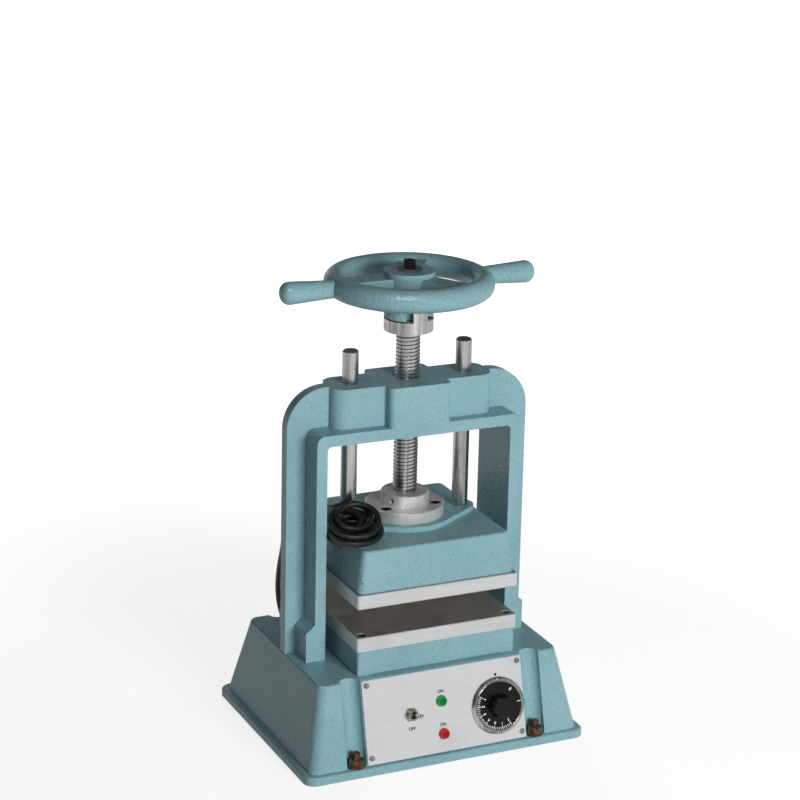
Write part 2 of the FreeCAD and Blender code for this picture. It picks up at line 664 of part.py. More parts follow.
def loft(part, low, high):
    """Join two sketches with straight sides."""
    item = part.newObject("PartDesign::AdditiveLoft", "loft")
    item.Profile = low
    item.Sections = [high]
    item.Ruled = True
    return item


def wedge(part, low, high, hollow=False):
    """A block with drafted sides between two level rectangles, given as width, depth, height."""
    kind = "PartDesign::SubtractiveWedge" if hollow else "PartDesign::AdditiveWedge"
    item = part.newObject(kind, "wedge")
    base = [feature for feature in part.Origin.OriginFeatures if feature.Role == "XZ_Plane"][0]
    item.AttachmentSupport = [(base, "")]
    item.MapMode = "FlatFace"
    low_width, low_depth, low_z = low
    high_width, high_depth, high_z = high
    return bind(item, Xmin="-({})/2".format(low_width), Xmax="({})/2".format(low_width),
                Zmin="-({})/2".format(low_depth), Zmax="({})/2".format(low_depth), Ymin=low_z,
                X2min="-({})/2".format(high_width), X2max="({})/2".format(high_width),
                Z2min="-({})/2".format(high_depth), Z2max="({})/2".format(high_depth), Ymax=high_z)


def drafted_block(name, low, high, corner):
    """A body with drafted sides and rounded upright corners."""
    part = body(name)
    wedge(part, low, high)
    fillet(part, corner, lambda bounds: bounds.ZLength > 1)
    return part


def edges_where(part, test):
    """Names of the body's edges whose bounds pass a test."""
    doc.recompute()
    found = []
    for index, edge in enumerate(part.Tip.Shape.Edges, start=1):
        if test(edge.BoundBox):
            found.append("Edge{}".format(index))
    return found


def fillet(part, radius, test):
    """Round the edges that pass a test."""
    names = edges_where(part, test)
    base = part.Tip
    item = part.newObject("PartDesign::Fillet", "fillet")
    item.Base = (base, names)
    return bind(item, Radius=radius)


def chamfer(part, size, test):
    """Bevel the edges that pass a test."""
    names = edges_where(part, test)
    base = part.Tip
    item = part.newObject("PartDesign::Chamfer", "chamfer")
    item.Base = (base, names)
    return bind(item, Size=size)


def flat_at(height):
    """A test for edges that lie level at a height."""
    level = number(height)

    def test(bounds):
        return abs(bounds.ZMin - level) < 0.01 and abs(bounds.ZMax - level) < 0.01
    return test


def turned(name, profile):
    """A body turned about its upright axis from an outline of radius, height pairs."""
    part = body(name)
    spin(part, polygon(sketch(part, "XZ_Plane"), profile))
    return part


def spin(part, profile, axis="V_Axis"):
    """Revolve a sketch about one of its own axes."""
    item = part.newObject("PartDesign::Revolution", "revolution")
    item.Profile = profile
    item.ReferenceAxis = (profile, [axis])
    item.Angle = 360
    return item


def slab(name, width, depth, corner, height, z=0):
    """A body: a rectangle with round corners, extruded upwards."""
    part = body(name)
    pad(part, rounded_rectangle(sketch(part, "XY_Plane", lift=z), width, depth, corner), height)
    return part


# Base

def channel_axis(item, side, front):
    """Lay a cylinder in the slanted front or rear face, its axis down the slope."""
    item.Placement = FreeCAD.Placement(FreeCAD.Vector(), FreeCAD.Rotation(X_AXIS, 1))
    item.setExpression("Placement.Rotation.Angle", linked("{}*{}".format(front, FACE_ANGLE)))
    face_y = "(base_body_depth/2 + flange_thickness*tan({}))".format(FACE_ANGLE)
    return place(item, "{}*stud_spacing_width/2".format(side), "{}*{}".format(front, face_y))


def top_hole(radius, x, y):
    """A cutter through the base's top."""
    return cylinder(radius, "base_top_wall + 2*{}".format(OVERCUT), x, y,
                    "base_height - base_top_wall - {}".format(OVERCUT))


def base_walls():
    """Slanted hollow walls with a half-round channel over each hold-down stud."""
    outer = drafted_block("walls", ("base_body_width", "base_body_depth", "flange_thickness"),
                          (BASE_TOP_WIDTH, "base_top_depth", "base_height"), "base_corner")
    fillet(outer, "base_rounding", flat_at("base_height"))

    draft = "base_top_wall/(base_height - flange_thickness)"
    inner = drafted_block(
        "cavity", (CAVITY_WIDTH, CAVITY_DEPTH, "flange_thickness"),
        ("{0} + (base_body_width - {0})*{1} - 2*base_wall".format(BASE_TOP_WIDTH, draft),
         "base_top_depth + (base_body_depth - base_top_depth)*{} - 2*base_wall".format(draft),
         "base_height - base_top_wall"), CAVITY_CORNER)

    bosses = []
    channels = []
    for side in SIDES:
        for front in SIDES:
            boss = cylinder("channel_radius + channel_wall", "2*base_height")
            bosses.append(channel_axis(boss, side, front))
            channels.append(channel_axis(cylinder("channel_radius", "2*base_height"), side, front))
    return cut(fuse(cut(outer, inner), common(outer, fuse(*bosses))), *channels)


def base_flange():
    """Foot flange with the rebate that takes the bottom cover."""
    flange = slab("flange", FLANGE_WIDTH, FLANGE_DEPTH, "flange_corner", "flange_thickness")
    fillet(flange, "flange_rounding", flat_at("flange_thickness"))
    mouth = rounded_rectangle(sketch(flange, "XY_Plane"), MOUTH_WIDTH, MOUTH_DEPTH, CAVITY_CORNER)
    pocket(flange, mouth, "flange_thickness", up=True)
    rebate = rounded_rectangle(sketch(flange, "XY_Plane"), MOUTH_WIDTH + " + 2*cover_ledge",
                               MOUTH_DEPTH + " + 2*cover_ledge", CAVITY_CORNER + " + cover_ledge")
    pocket(flange, rebate, "cover_thickness", up=True)
    return flange


def base_casting():
    """Cast base: walls, flange and tapped corner lugs, with every hole that it needs."""
    window = box("window_width", "window_height", "4*base_wall")
    on_face(window, "-window_width/2", WINDOW_CENTRE + " + window_height/2", "-3*base_wall")
    holes = [window]
    lugs = []
    for side_x, side_y in QUADRANTS:
        lug_x = "{}*{}".format(side_x, COVER_SCREW_X)
        lug_y = "{}*{}".format(side_y, COVER_SCREW_Y)
        lugs.append(cylinder("cover_lug_radius", "cover_lug_height - cover_thickness",
                             lug_x, lug_y, "cover_thickness"))
        holes.append(cylinder("small_screw/2 + screw_gap", "cover_screw_length + end_room", lug_x, lug_y))
        holes.append(cylinder("stud_hole/2", "flange_thickness + 2*{}".format(OVERCUT),
                              "{}*stud_spacing_width/2".format(side_x),
                              "{}*{}".format(side_y, STUD_REACH), -OVERCUT))
        holes.append(top_hole("foot_bolt/2 + screw_gap", "{}*foot_bolt_spacing_width/2".format(side_x),
                              "{}*foot_bolt_spacing_depth/2".format(side_y)))
        holes.append(top_hole("block_screw/2 + screw_gap", "{}*block_screw_spacing/2".format(side_x),
                              "{}*block_screw_spacing/2".format(side_y)))
    for side in SIDES:
        for drop in PANEL_SCREW_DROPS:
            hole = cylinder("small_screw/2 + screw_gap", "2*base_wall")
            holes.append(on_face(hole, "{}*panel_screw_spacing/2".format(side), drop, "-1.5*base_wall"))
        holes.append(cylinder("small_screw/2 + screw_gap", "base_top_wall/2 + {}".format(OVERCUT),
                              "{}*terminal_screw_spacing/2".format(side), "terminal_y",
                              "base_height - base_top_wall - {}".format(OVERCUT)))
    holes.append(top_hole("capillary_hole/2", 0, CAPILLARY_Y))
    for across in ("cord_exit_x", "base_gland_x"):
        hole = cylinder("gland_hole/2", "4*base_wall")
        holes.append(on_face(hole, across, GLAND_DROP, "-3*base_wall", front=1))
    keep(cut(fuse(base_walls(), base_flange(), *lugs), *holes), "base_casting")


def hold_down():
    """Four studs through the flange, each with a washer, a nut and a free end above the nut."""
    studs = []
    washers = []
    nuts = []
    for side_x, side_y in QUADRANTS:
        spot = ("{}*stud_spacing_width/2".format(side_x), "{}*{}".format(side_y, STUD_REACH))
        hole = "stud_diameter/2 + screw_gap"
        studs.append(fuse(cylinder("stud_diameter/2", NUT_TOP, *spot),
                          cylinder("stud_end/2", "stud_top", *spot)))
        washers.append(cut(cylinder("washer_diameter/2", "washer_thickness", *spot, "flange_thickness"),
                           cylinder(hole, "stud_top", *spot)))
        nuts.append(cut(hexagon("nut_across_flats", "nut_height", *spot,
                                "flange_thickness + washer_thickness"),
                        cylinder(hole, "stud_top + nut_height", *spot)))
    keep(group(studs), "hold_down_studs")
    keep(group(washers), "hold_down_washers")
    keep(group(nuts), "hold_down_nuts")


def bottom_cover():
    """Sheet cover in the underside's rebate, with countersunk screws in the corner lugs."""
    plate = slab("cover", MOUTH_WIDTH + " + 2*cover_ledge - 2*cover_gap",
                 MOUTH_DEPTH + " + 2*cover_ledge - 2*cover_gap",
                 CAVITY_CORNER + " + cover_ledge - cover_gap", "cover_thickness")
    sinks = []
    screws = []
    for side_x, side_y in QUADRANTS:
        spot = ("{}*{}".format(side_x, COVER_SCREW_X), "{}*{}".format(side_y, COVER_SCREW_Y))
        sinks.append(cone("cover_screw_head/2 + screw_gap", "small_screw/2 + screw_gap",
                          "cover_thickness", *spot))
        screws.append(fuse(cone("cover_screw_head/2", "small_screw/2", "cover_thickness", *spot),
                           cylinder("small_screw/2", "cover_screw_length", *spot)))
    keep(cut(plate, *sinks), "bottom_cover")
    keep(group(screws), "bottom_cover_screws")


def terminal_block():
    """Terminal block under the base's top, on two screws."""
    low = "base_height - base_top_wall - terminal_height"
    holes = []
    screws = []
    for side in SIDES:
        spot = ("{}*terminal_screw_spacing/2".format(side), "terminal_y", low)
        holes.append(cylinder("small_screw/2 + screw_gap", "terminal_height", *spot))
        fastener = screw("panel_screw_head/2", "panel_screw_head_height", "small_screw/2",
                         "terminal_height + base_top_wall/2 - end_room")
        screws.append(place(turn(fastener, X_AXIS, 180), *spot))
    housing = box("terminal_length", "terminal_width", "terminal_height", 0, "terminal_y", low)
    keep(cut(housing, *holes), "terminal_block")
    keep(group(screws), "terminal_screws")


# Control panel: these pieces are drawn with +Z out of the panel

def front_panel():
    """Aluminium panel with its corner screws."""
    panel = slab("panel", "panel_width", "panel_height", "panel_corner", "panel_thickness")
    holes = sketch(panel, "XY_Plane")
    screws = []
    for side in SIDES:
        for drop in PANEL_SCREW_DROPS:
            across = "{}*panel_screw_spacing/2".format(side)
            circle(holes, "small_screw/2 + screw_gap", across, "{} - {}".format(WINDOW_CENTRE, drop))
            screws.append(on_face(
                screw("panel_screw_head/2", "panel_screw_head_height", "small_screw/2",
                      "panel_screw_length"), across, drop, "panel_thickness"))
        circle(holes, "small_screw/2 + screw_gap", "dial_x + {}*thermostat_screw_spacing/2".format(side),
               WINDOW_CENTRE + " - dial_drop")
    circle(holes, "bushing_diameter/2 + fit_gap", "switch_x", WINDOW_CENTRE + " - switch_drop")
    circle(holes, "thermostat_collar/2 + fit_gap", "dial_x", WINDOW_CENTRE + " - dial_drop")
    for drop in ("power_lamp_drop", "heat_lamp_drop"):
        circle(holes, "lamp_hole/2", "lamp_x", "{} - {}".format(WINDOW_CENTRE, drop))
    pocket(panel, holes, "panel_thickness", up=True)
    keep(on_face(panel, 0, WINDOW_CENTRE), "front_panel")
    keep(group(screws), "panel_screws")


def toggle_switch():
    """Toggle switch: housing with a bored bushing, dress nut and lever with its ball."""
    spot = ("switch_x", "switch_drop")
    housing = box("switch_width", "switch_height", "switch_depth", 0, 0, "-switch_depth")
    bushing = cylinder("bushing_diameter/2", "bushing_height + switch_depth/2", z="-switch_depth/2")
    bore = cylinder("bushing_bore/2", "bushing_bore_depth + {}".format(OVERCUT),
                    z="bushing_height - bushing_bore_depth")
    keep(on_face(cut(fuse(housing, bushing), bore), *spot), "switch_body")
    nut = cut(hexagon("switch_nut_flats", "switch_nut_height"),
              cylinder("bushing_diameter/2 + running_gap", "switch_nut_height"))
    keep(on_face(nut, *spot, "panel_thickness"), "switch_nut")

    stem = turn(cone("lever_neck/2", "lever_tip/2", "lever_length - lever_tip/2"), Y_AXIS, "lever_tilt")
    reach = "(lever_length - lever_tip/2)"
    tip = place(sphere("lever_tip/2"), "{}*sin(1 deg*lever_tilt)".format(reach), 0,
                "{}*cos(1 deg*lever_tilt)".format(reach))
    lever = fuse(sphere("lever_ball/2"), stem, tip)
    keep(on_face(lever, *spot, "lever_pivot"), "switch_lever")


def pilot_lamp(name, drop):
    """Pilot lamp: coloured lens in front of the panel, housing behind it."""
    face = "panel_thickness"
    spigot = "lamp_hole/2 - fit_gap - lamp_wall"
    lens = turned("lens", [
        (0, "-lamp_depth/4"), (spigot, "-lamp_depth/4"), (spigot, face), ("lens_diameter/2", face),
        ("lens_diameter/2", face + " + lens_height"), (0, face + " + lens_height")])
    fillet(lens, "lens_crown", flat_at("panel_thickness + lens_height"))
    keep(on_face(lens, "lamp_x", drop), name + "_lens")
    tube = "lamp_hole/2 - fit_gap"
    bore = spigot + " + running_gap"
    housing = turned("housing", [
        (0, "-lamp_depth"), (tube, "-lamp_depth"), (tube, "-lamp_ring_height"),
        ("lamp_ring/2", "-lamp_ring_height"), ("lamp_ring/2", 0), (tube, 0), (tube, face),
        (bore, face), (bore, "-lamp_depth/4 - running_gap"), (0, "-lamp_depth/4 - running_gap")])
    keep(on_face(housing, "lamp_x", drop), name + "_body")


def thermostat():
    """Thermostat: housing behind the panel, its screws, the shaft, and the ring round the dial."""
    spot = ("dial_x", "dial_drop")
    housing = box("thermostat_width", "thermostat_height", "thermostat_depth", 0, 0, "-thermostat_depth")
    collar = cylinder("thermostat_collar/2", "panel_thickness + thermostat_depth/2",
                      z="-thermostat_depth/2")
    holes = [cylinder("dial_shaft/2 + running_gap", "thermostat_depth", z="-thermostat_depth/2")]
    screws = []
    for side in SIDES:
        offset = "{}*thermostat_screw_spacing/2".format(side)
        holes.append(cylinder("small_screw/2 + screw_gap", "panel_screw_length",
                              offset, 0, "-panel_screw_length"))
        screws.append(on_face(
            screw("panel_screw_head/2", "panel_screw_head_height", "small_screw/2",
                  "panel_screw_length"), "dial_x + " + offset, "dial_drop", "panel_thickness"))
    keep(on_face(cut(fuse(housing, collar), *holes), *spot), "thermostat_body")
    keep(group(screws), "thermostat_screws")
    shaft = cylinder("dial_shaft/2", "dial_shaft_length + panel_thickness + thermostat_depth/3")
    keep(on_face(shaft, *spot, "-thermostat_depth/3"), "dial_shaft")

    inner = "bezel_diameter/2 - bezel_width"
    face = "panel_thickness"
    ring = turned("bezel", [
        (inner, face), ("bezel_diameter/2", face), ("bezel_diameter/2", face + " + bezel_height/3"),
        ("bezel_diameter/2 - bezel_width/2", face + " + bezel_height"),
        (inner, face + " + bezel_height")])
    keep(on_face(ring, *spot), "dial_bezel")


def dial_knob():
    """Dial: a disc inside the ring, with a tapered six-sided grip moulded on it."""
    knob = body("knob")
    back = "panel_thickness + disc_lift"
    front = back + " + disc_thickness"
    disc = circle(sketch(knob, "XY_Plane", lift=back), "bezel_diameter/2 - bezel_width - disc_gap")
    pad(knob, disc, "disc_thickness")
    outlines = []
    for lift, radius in ((front, "knob_base"), (front + " + knob_height", "knob_top")):
        corners = []
        for step in range(6):
            corners.append(("{}*cos({})".format(radius, 60 * step), "{}*sin({})".format(radius, 60 * step)))
        outlines.append(polygon(sketch(knob, "XY_Plane", lift=lift), corners))
    loft(knob, *outlines)
    top = number(front + " + knob_height")
    level = number(front)
    fillet(knob, "knob_rounding", lambda bounds: bounds.ZMax > top - 0.01 and bounds.ZMin > level - 0.01)
    hub = circle(sketch(knob, "XY_Plane", lift="panel_thickness + hub_gap"), "thermostat_collar/2")
    pad(knob, hub, "disc_lift")
    bore = circle(sketch(knob, "XY_Plane", lift="panel_thickness"), "dial_shaft/2 + running_gap")
    pocket(knob, bore, "dial_shaft_length + end_room", up=True)
    keep(on_face(knob, "dial_x", "dial_drop"), "dial_knob")


# Lower platen

def plate_screw_spots(inset=0):
    """The four corner screws of a heat plate, or spots inwards of them."""
    reach = "(plate_screw_spacing/2 - {})".format(inset)
    return [("{}*{}".format(side_x, reach), "{}*{}".format(side_y, reach)) for side_x, side_y in QUADRANTS]


def lower_platen_block():
    """Hollow cast block on the base, with bosses for its own screws and the plate's."""
    block = slab("block", "block_size - 2*block_groove", "block_size - 2*block_groove", "block_corner",
                 "block_height", z="base_height")
    upper = rounded_rectangle(sketch(block, "XY_Plane", lift="base_height + block_groove"),
                              "block_size", "block_size", "block_corner")
    pad(block, upper, "block_height - block_groove")
    hollow = rounded_rectangle(sketch(block, "XY_Plane", lift="base_height"),
                               "block_size - 2*block_wall", "block_size - 2*block_wall", "block_corner")
    pocket(block, hollow, "block_height - block_top_wall", up=True)
    bosses = sketch(block, "XY_Plane", lift="base_height")
    threads = sketch(block, "XY_Plane", lift="base_height")
    for side_x, side_y in QUADRANTS:
        spot = ("{}*block_screw_spacing/2".format(side_x), "{}*block_screw_spacing/2".format(side_y))
        circle(bosses, "block_boss_radius", *spot)
        circle(threads, "block_screw/2 + screw_gap", *spot)
    corners = sketch(block, "XY_Plane", lift="base_height")
    taps = sketch(block, "XY_Plane", lift=BLOCK_TOP)
    for x, y in plate_screw_spots():
        circle(taps, "plate_screw/2 + screw_gap", x, y)
    for spot in plate_screw_spots("block_boss_inset"):
        rounded_rectangle(corners, "2*block_boss_radius", "2*block_boss_radius", "boss_corner", *spot)
    for profile in (bosses, corners):
        pad(block, profile, "block_height - block_top_wall/2")
    pocket(block, threads, "block_height - block_top_wall/2", up=True)
    pocket(block, taps, "plate_screw_grip + end_room")
    passage = circle(sketch(block, "XY_Plane", lift=BLOCK_TOP), "capillary_hole/2", 0, CAPILLARY_Y)
    pocket(block, passage, "2*block_top_wall")
    keep(block, "lower_platen_block")

    screws = []
    for side_x, side_y in QUADRANTS:
        fastener = bolt("bolt_head_flats*block_screw/foot_bolt", "bolt_head_height", "block_screw/2",
                        "base_top_wall + block_height - block_top_wall")
        screws.append(place(fastener, "{}*block_screw_spacing/2".format(side_x),
                            "{}*block_screw_spacing/2".format(side_y), "base_height - base_top_wall"))
    keep(group(screws), "lower_block_screws")


def heat_plate(bottom, thickness, pocket_from, screw_from):
    """Square heat plate with a pocket for the heater and four counterbored corner holes."""
    plate = slab("plate", "plate_size", "plate_size", "plate_corner", thickness, z=bottom)
    low = number(bottom)
    high = number("{} + {}".format(bottom, thickness))
    chamfer(plate, "plate_edge", lambda bounds: abs(bounds.ZMax - bounds.ZMin) < 0.01
            and (abs(bounds.ZMin - low) < 0.01 or abs(bounds.ZMin - high) < 0.01))
    recess = rounded_rectangle(sketch(plate, "XY_Plane", lift=pocket_from), "heater_pocket",
                               "heater_pocket", "block_corner")
    pocket(plate, recess, POCKET_DEPTH, up=pocket_from == bottom)
    shanks = sketch(plate, "XY_Plane", lift=bottom)
    heads = sketch(plate, "XY_Plane", lift=screw_from)
    for spot in plate_screw_spots():
        circle(shanks, "plate_screw/2 + screw_gap", *spot)
        circle(heads, "plate_screw_head/2 + 2*screw_gap", *spot)
    pocket(plate, shanks, thickness, up=True)
    pocket(plate, heads, "counterbore_depth", up=screw_from == bottom)
    return plate


def lower_heat_plate():
    """Lower heat plate, with the bulb's groove in the roof of its pocket."""
    plate = heat_plate(BLOCK_TOP, "lower_plate_thickness", BLOCK_TOP, LOWER_PLATE_TOP)
    radius = "bulb_diameter/2 + bulb_gap"
    length = "bulb_length + capillary_lead + 3*bulb_diameter/2"
    start = "-bulb_length/2 - bulb_diameter/2"
    slot = box("bulb_diameter + 2*bulb_gap", length, radius, 0, "{} + ({})/2".format(start, length),
               BULB_HEIGHT + " - ({})".format(radius))
    round_end = place(turn(cylinder(radius, length), X_AXIS, -90), 0, start, BULB_HEIGHT)
    keep(cut(plate, fuse(slot, round_end)), "lower_heat_plate")


def flat_sheet(label, thickness, z, hole=False):
    """Square sheet in a heat plate's pocket."""
    sheet_body = slab("sheet", HEATER_SIZE, HEATER_SIZE, "plate_corner", thickness, z=z)
    if hole:
        passage = circle(sketch(sheet_body, "XY_Plane", lift=z), "capillary_hole/2", 0, CAPILLARY_Y)
        pocket(sheet_body, passage, thickness, up=True)
    keep(sheet_body, label)


def plate_screws(label, seat, flip, length):
    """Four socket screws that hold a heat plate to its casting."""
    screws = []
    for x, y in plate_screw_spots():
        fastener = screw("plate_screw_head/2", "plate_screw_head_height", "plate_screw/2", length)
        if flip:
            turn(fastener, X_AXIS, 180)
        screws.append(place(fastener, x, y, seat))
    keep(group(screws), label)


def thermostat_bulb():
    """Sensing bulb in the lower heat plate with its capillary tube down to the thermostat."""
    angle = FACE_ANGLE
    bulb = place(turn(cylinder("bulb_diameter/2", "bulb_length"), X_AXIS, -90),
                 0, "-bulb_length/2", BULB_HEIGHT)
    behind = "thermostat_depth"
    end_y = "-(base_top_depth/2 + dial_drop*sin({}) - ({})*cos({}))".format(angle, behind, angle)
    end_z = "base_height - dial_drop*cos({}) - ({})*sin({})".format(angle, behind, angle)
    lead = "2*capillary_lead"
    route = [
        (0, "bulb_length/2 - {}".format(OVERLAP), BULB_HEIGHT),
        (0, CAPILLARY_Y, BULB_HEIGHT),
        (0, CAPILLARY_Y, "base_height - 3*base_top_wall"),
        ("dial_x/2", "terminal_y + terminal_width", "base_height/2"),
        ("dial_x", "{} + {}*cos({})".format(end_y, lead, angle),
         "{} - {}*sin({})".format(end_z, lead, angle)),
        ("dial_x", end_y, end_z)]
    points = [FreeCAD.Vector(*(number(value) for value in point)) for point in route]
    tube = doc.addObject("Part::Feature", "capillary")
    tube.Shape = swept_tube(points, number("capillary_diameter") / 2)
    keep(fuse(bulb, tube), "thermostat_bulb")


# Upper platen

def oval(profile, radius, end_radius, reach):
    """An oval: a large middle circle and a small one at each end, joined by tangents."""
    large = number(radius)
    small = number(end_radius)
    distance = number(reach)
    lean = math.acos((large - small) / distance)
    middle = FreeCAD.Vector()
    right = FreeCAD.Vector(distance, 0, 0)
    spans = [(right, small, -lean, lean), (middle, large, lean, math.pi - lean),
             (-right, small, math.pi - lean, math.pi + lean),
             (middle, large, math.pi + lean, 2 * math.pi - lean)]
    for centre, size, start, end in spans:
        profile.addGeometry(Part.ArcOfCircle(Part.Circle(centre, Z_AXIS, size), start, end), False)
    for step in range(4):
        centre, size, start, end = spans[step]
        after, size_after, start_after, end_after = spans[(step + 1) % 4]
        leave = FreeCAD.Vector(math.cos(end), math.sin(end), 0)
        line = profile.addGeometry(
            Part.LineSegment(centre + leave * size, after + leave * size_after), False)
        profile.addConstraint(Sketcher.Constraint("Tangent", step, 2, line, 1))
        profile.addConstraint(Sketcher.Constraint("Tangent", line, 2, (step + 1) % 4, 1))
    for arc, size, x in ((0, end_radius, reach), (1, radius, 0), (2, end_radius, "-({})".format(reach)),
                         (3, radius, 0)):
        tie(profile, "Radius", "radius_{}".format(arc), (arc,), size)
        fix_point(profile, arc, 3, x, 0)
    return profile


def upper_platen_casting():
    """Ribless hollow casting with drafted sides, an oval pad and bosses under its top."""
    casting = drafted_block(
        "casting", ("casting_bottom_width", "casting_bottom_depth", CASTING_BOTTOM),
        (CASTING_TOP_WIDTH, CASTING_TOP_DEPTH, CASTING_TOP), "casting_corner")
    fillet(casting, "casting_rounding", flat_at(CASTING_TOP))
    raised = oval(sketch(casting, "XY_Plane", lift=CASTING_TOP), "pad_radius", "pad_end_radius",
                  "rod_spacing/2")
    pad(casting, raised, "pad_height")
    hollow = "casting_height - casting_top_wall"
    share = "({})/casting_height".format(hollow)
    inner_width = "casting_bottom_width - 2*casting_wall"
    inner_depth = "casting_bottom_depth - 2*casting_wall"
    wedge(casting, (inner_width, inner_depth, CASTING_BOTTOM),
          (inner_width + " - 2*casting_side_draft*" + share,
           inner_depth + " - 2*casting_front_draft*" + share, CEILING), hollow=True)
    deep = number(hollow)
    fillet(casting, "casting_corner/2", lambda bounds: abs(bounds.ZLength - deep) < 0.01)
    bosses = sketch(casting, "XY_Plane", lift=CASTING_BOTTOM)
    taps = sketch(casting, "XY_Plane", lift=CASTING_BOTTOM)
    for spot in plate_screw_spots("casting_boss_inset"):
        rounded_rectangle(bosses, "2*casting_boss_radius", "2*casting_boss_radius", "boss_corner", *spot)
    for spot in plate_screw_spots():
        circle(taps, "plate_screw/2 + screw_gap", *spot)
    pad(casting, bosses, "casting_boss_height")
    pocket(casting, taps, "plate_screw_grip + end_room", up=True)
    thrust = circle(sketch(casting, "XY_Plane", lift=CEILING + " - thrust_boss_height"),
                    "thrust_boss_radius")
    pad(casting, thrust, "thrust_boss_height + casting_top_wall/2")
    well = circle(sketch(casting, "XY_Plane", lift=PAD_TOP), "thrust_pad_diameter/2 + nose_gap")
    pocket(casting, well, PAD_TOP + " - thrust_pad_top + thrust_pad_thickness")
    through = sketch(casting, "XY_Plane", lift=PAD_TOP)
    for side in SIDES:
        circle(through, "rod_shank/2 + screw_gap", "{}*rod_spacing/2".format(side), 0)
    pocket(casting, through, "casting_top_wall + pad_height + {}".format(OVERCUT))
    threads = sketch(casting, "XY_Plane", lift=PAD_TOP)
    for x, y in retainer_screw_spots():
        circle(threads, "retainer_screw/2 + screw_gap", x, y)
    pocket(casting, threads, "retainer_screw_grip + end_room")
    hole = cylinder("gland_hole/2", "3*casting_wall")
    keep(cut(casting, on_casting_rear(hole, "upper_gland_x", "upper_gland_drop", "-2*casting_wall")),
         "upper_platen_casting")


def on_casting_rear(item, across, down, out=0):
    """Set an object on the upper casting's rear face, its own +Z pointing out of it."""
    angle = "atan(casting_front_draft/casting_height)"
    item.Placement = FreeCAD.Placement(FreeCAD.Vector(), FreeCAD.Rotation(X_AXIS, 1))
    item.setExpression("Placement.Rotation.Angle", linked("{} - 90 deg".format(angle)))
    return place(item, across,
                 "{}/2 + ({})*sin({}) + ({})*cos({})".format(CASTING_TOP_DEPTH, down, angle, out, angle),
                 "{} - ({})*cos({}) + ({})*sin({})".format(CASTING_TOP, down, angle, out, angle))


def retainer_screw_spots():
    """The retainer's three socket screws."""
    spots = []
    for step in range(3):
        bearing = "1 deg*(retainer_screw_angle + {})".format(120 * step)
        spots.append(("retainer_circle/2*cos({})".format(bearing),
                      "retainer_circle/2*sin({})".format(bearing)))
    return spots


def guide_rods():
    """Two guide rods, each with a reduced end through the casting and a nut under its top."""
    nuts = []
    for side, label in ((-1, "guide_rod_left"), (1, "guide_rod_right")):
        x = "{}*rod_spacing/2".format(side)
        foot = CEILING + " - rod_nut_height - rod_end_out"
        rod = turned("rod", [
            (0, foot), ("rod_shank/2", foot), ("rod_shank/2", PAD_TOP), ("rod_diameter/2", PAD_TOP),
            ("rod_diameter/2", "rod_top - rod_chamfer"), ("rod_diameter/2 - rod_chamfer", "rod_top"),
            (0, "rod_top")])
        keep(place(rod, x), label)
        nut = hexagon("rod_nut_flats", "rod_nut_height", x, 0, CEILING + " - rod_nut_height")
        bore = cylinder("rod_shank/2 + screw_gap", "2*rod_nut_height", x, 0,
                        CEILING + " - 1.5*rod_nut_height")
        nuts.append(cut(nut, bore))
    keep(group(nuts), "guide_rod_nuts")


# Press frame

def mirrored(half):
    """A closed outline from its right half, given upwards."""
    return half + [("-({})".format(x), z) for x, z in reversed(half)]


def upright_edge(x, z):
    """A test for edges that run front to back at plus or minus x and at height z."""
    across = number(x)
    level = number(z)

    def test(bounds):
        depth_only = bounds.XLength < 0.01 and bounds.ZLength < 0.01
        return depth_only and abs(abs(bounds.XMin) - across) < 0.01 and abs(bounds.ZMin - level) < 0.01
    return test


def press_frame():
    """Cast frame: web, a rib round its opening, widened feet, and three crosshead bosses."""
    frame = body("frame")
    inner_top = ("opening_width/2", "opening_top")
    inner_foot = ("opening_width/2", "base_height")
    web = mirrored([inner_top, inner_foot, ("frame_width/2", "base_height"),
                    ("frame_width/2", "frame_top")])
    pad(frame, polygon(sketch(frame, "XZ_Plane"), web), "web_thickness", both=True)
    fillet(frame, "frame_shoulder", upright_edge("frame_width/2", "frame_top"))
    rib = mirrored([inner_top, inner_foot, ("foot_width/2", "base_height"), ("foot_width/2", "foot_top"),
                    ("rib_width/2", "foot_top + foot_blend"), ("rib_width/2", "rib_top")])
    pad(frame, polygon(sketch(frame, "XZ_Plane"), rib), "rib_depth", both=True)
    fillet(frame, "rib_corner", upright_edge("rib_width/2", "rib_top"))
    fillet(frame, "opening_corner", upright_edge(*inner_top))
    rod_bosses = rounded_rectangle(sketch(frame, "XY_Plane", lift="rib_top"), "rod_boss_width",
                                   "rod_boss_depth", "rod_boss_corner")
    pad(frame, rod_bosses, "frame_top - rib_top")
    screw_boss = rounded_rectangle(sketch(frame, "XY_Plane", lift="opening_top"), "screw_boss_width",
                                   "screw_boss_depth", "screw_boss_corner")
    pad(frame, screw_boss, "frame_top - opening_top")
    bores = sketch(frame, "XY_Plane", lift="opening_top")
    circle(bores, "screw_diameter/2 + running_gap")
    for side in SIDES:
        circle(bores, "rod_diameter/2 + running_gap", "{}*rod_spacing/2".format(side), 0)
    pocket(frame, bores, "frame_top - opening_top", up=True)
    taps = sketch(frame, "XY_Plane", lift="base_height")
    bolts = []
    for side_x, side_y in QUADRANTS:
        spot = ("{}*foot_bolt_spacing_width/2".format(side_x),
                "{}*foot_bolt_spacing_depth/2".format(side_y))
        circle(taps, "foot_bolt/2 + screw_gap", *spot)
        fastener = bolt("bolt_head_flats", "bolt_head_height", "foot_bolt/2",
                        "base_top_wall + foot_bolt_grip")
        bolts.append(place(fastener, *spot, "base_height - base_top_wall"))
    pocket(frame, taps, "foot_bolt_grip + 2*end_room", up=True)
    keep(frame, "press_frame")
    keep(group(bolts), "frame_bolts")


# Lead screw and what turns with it

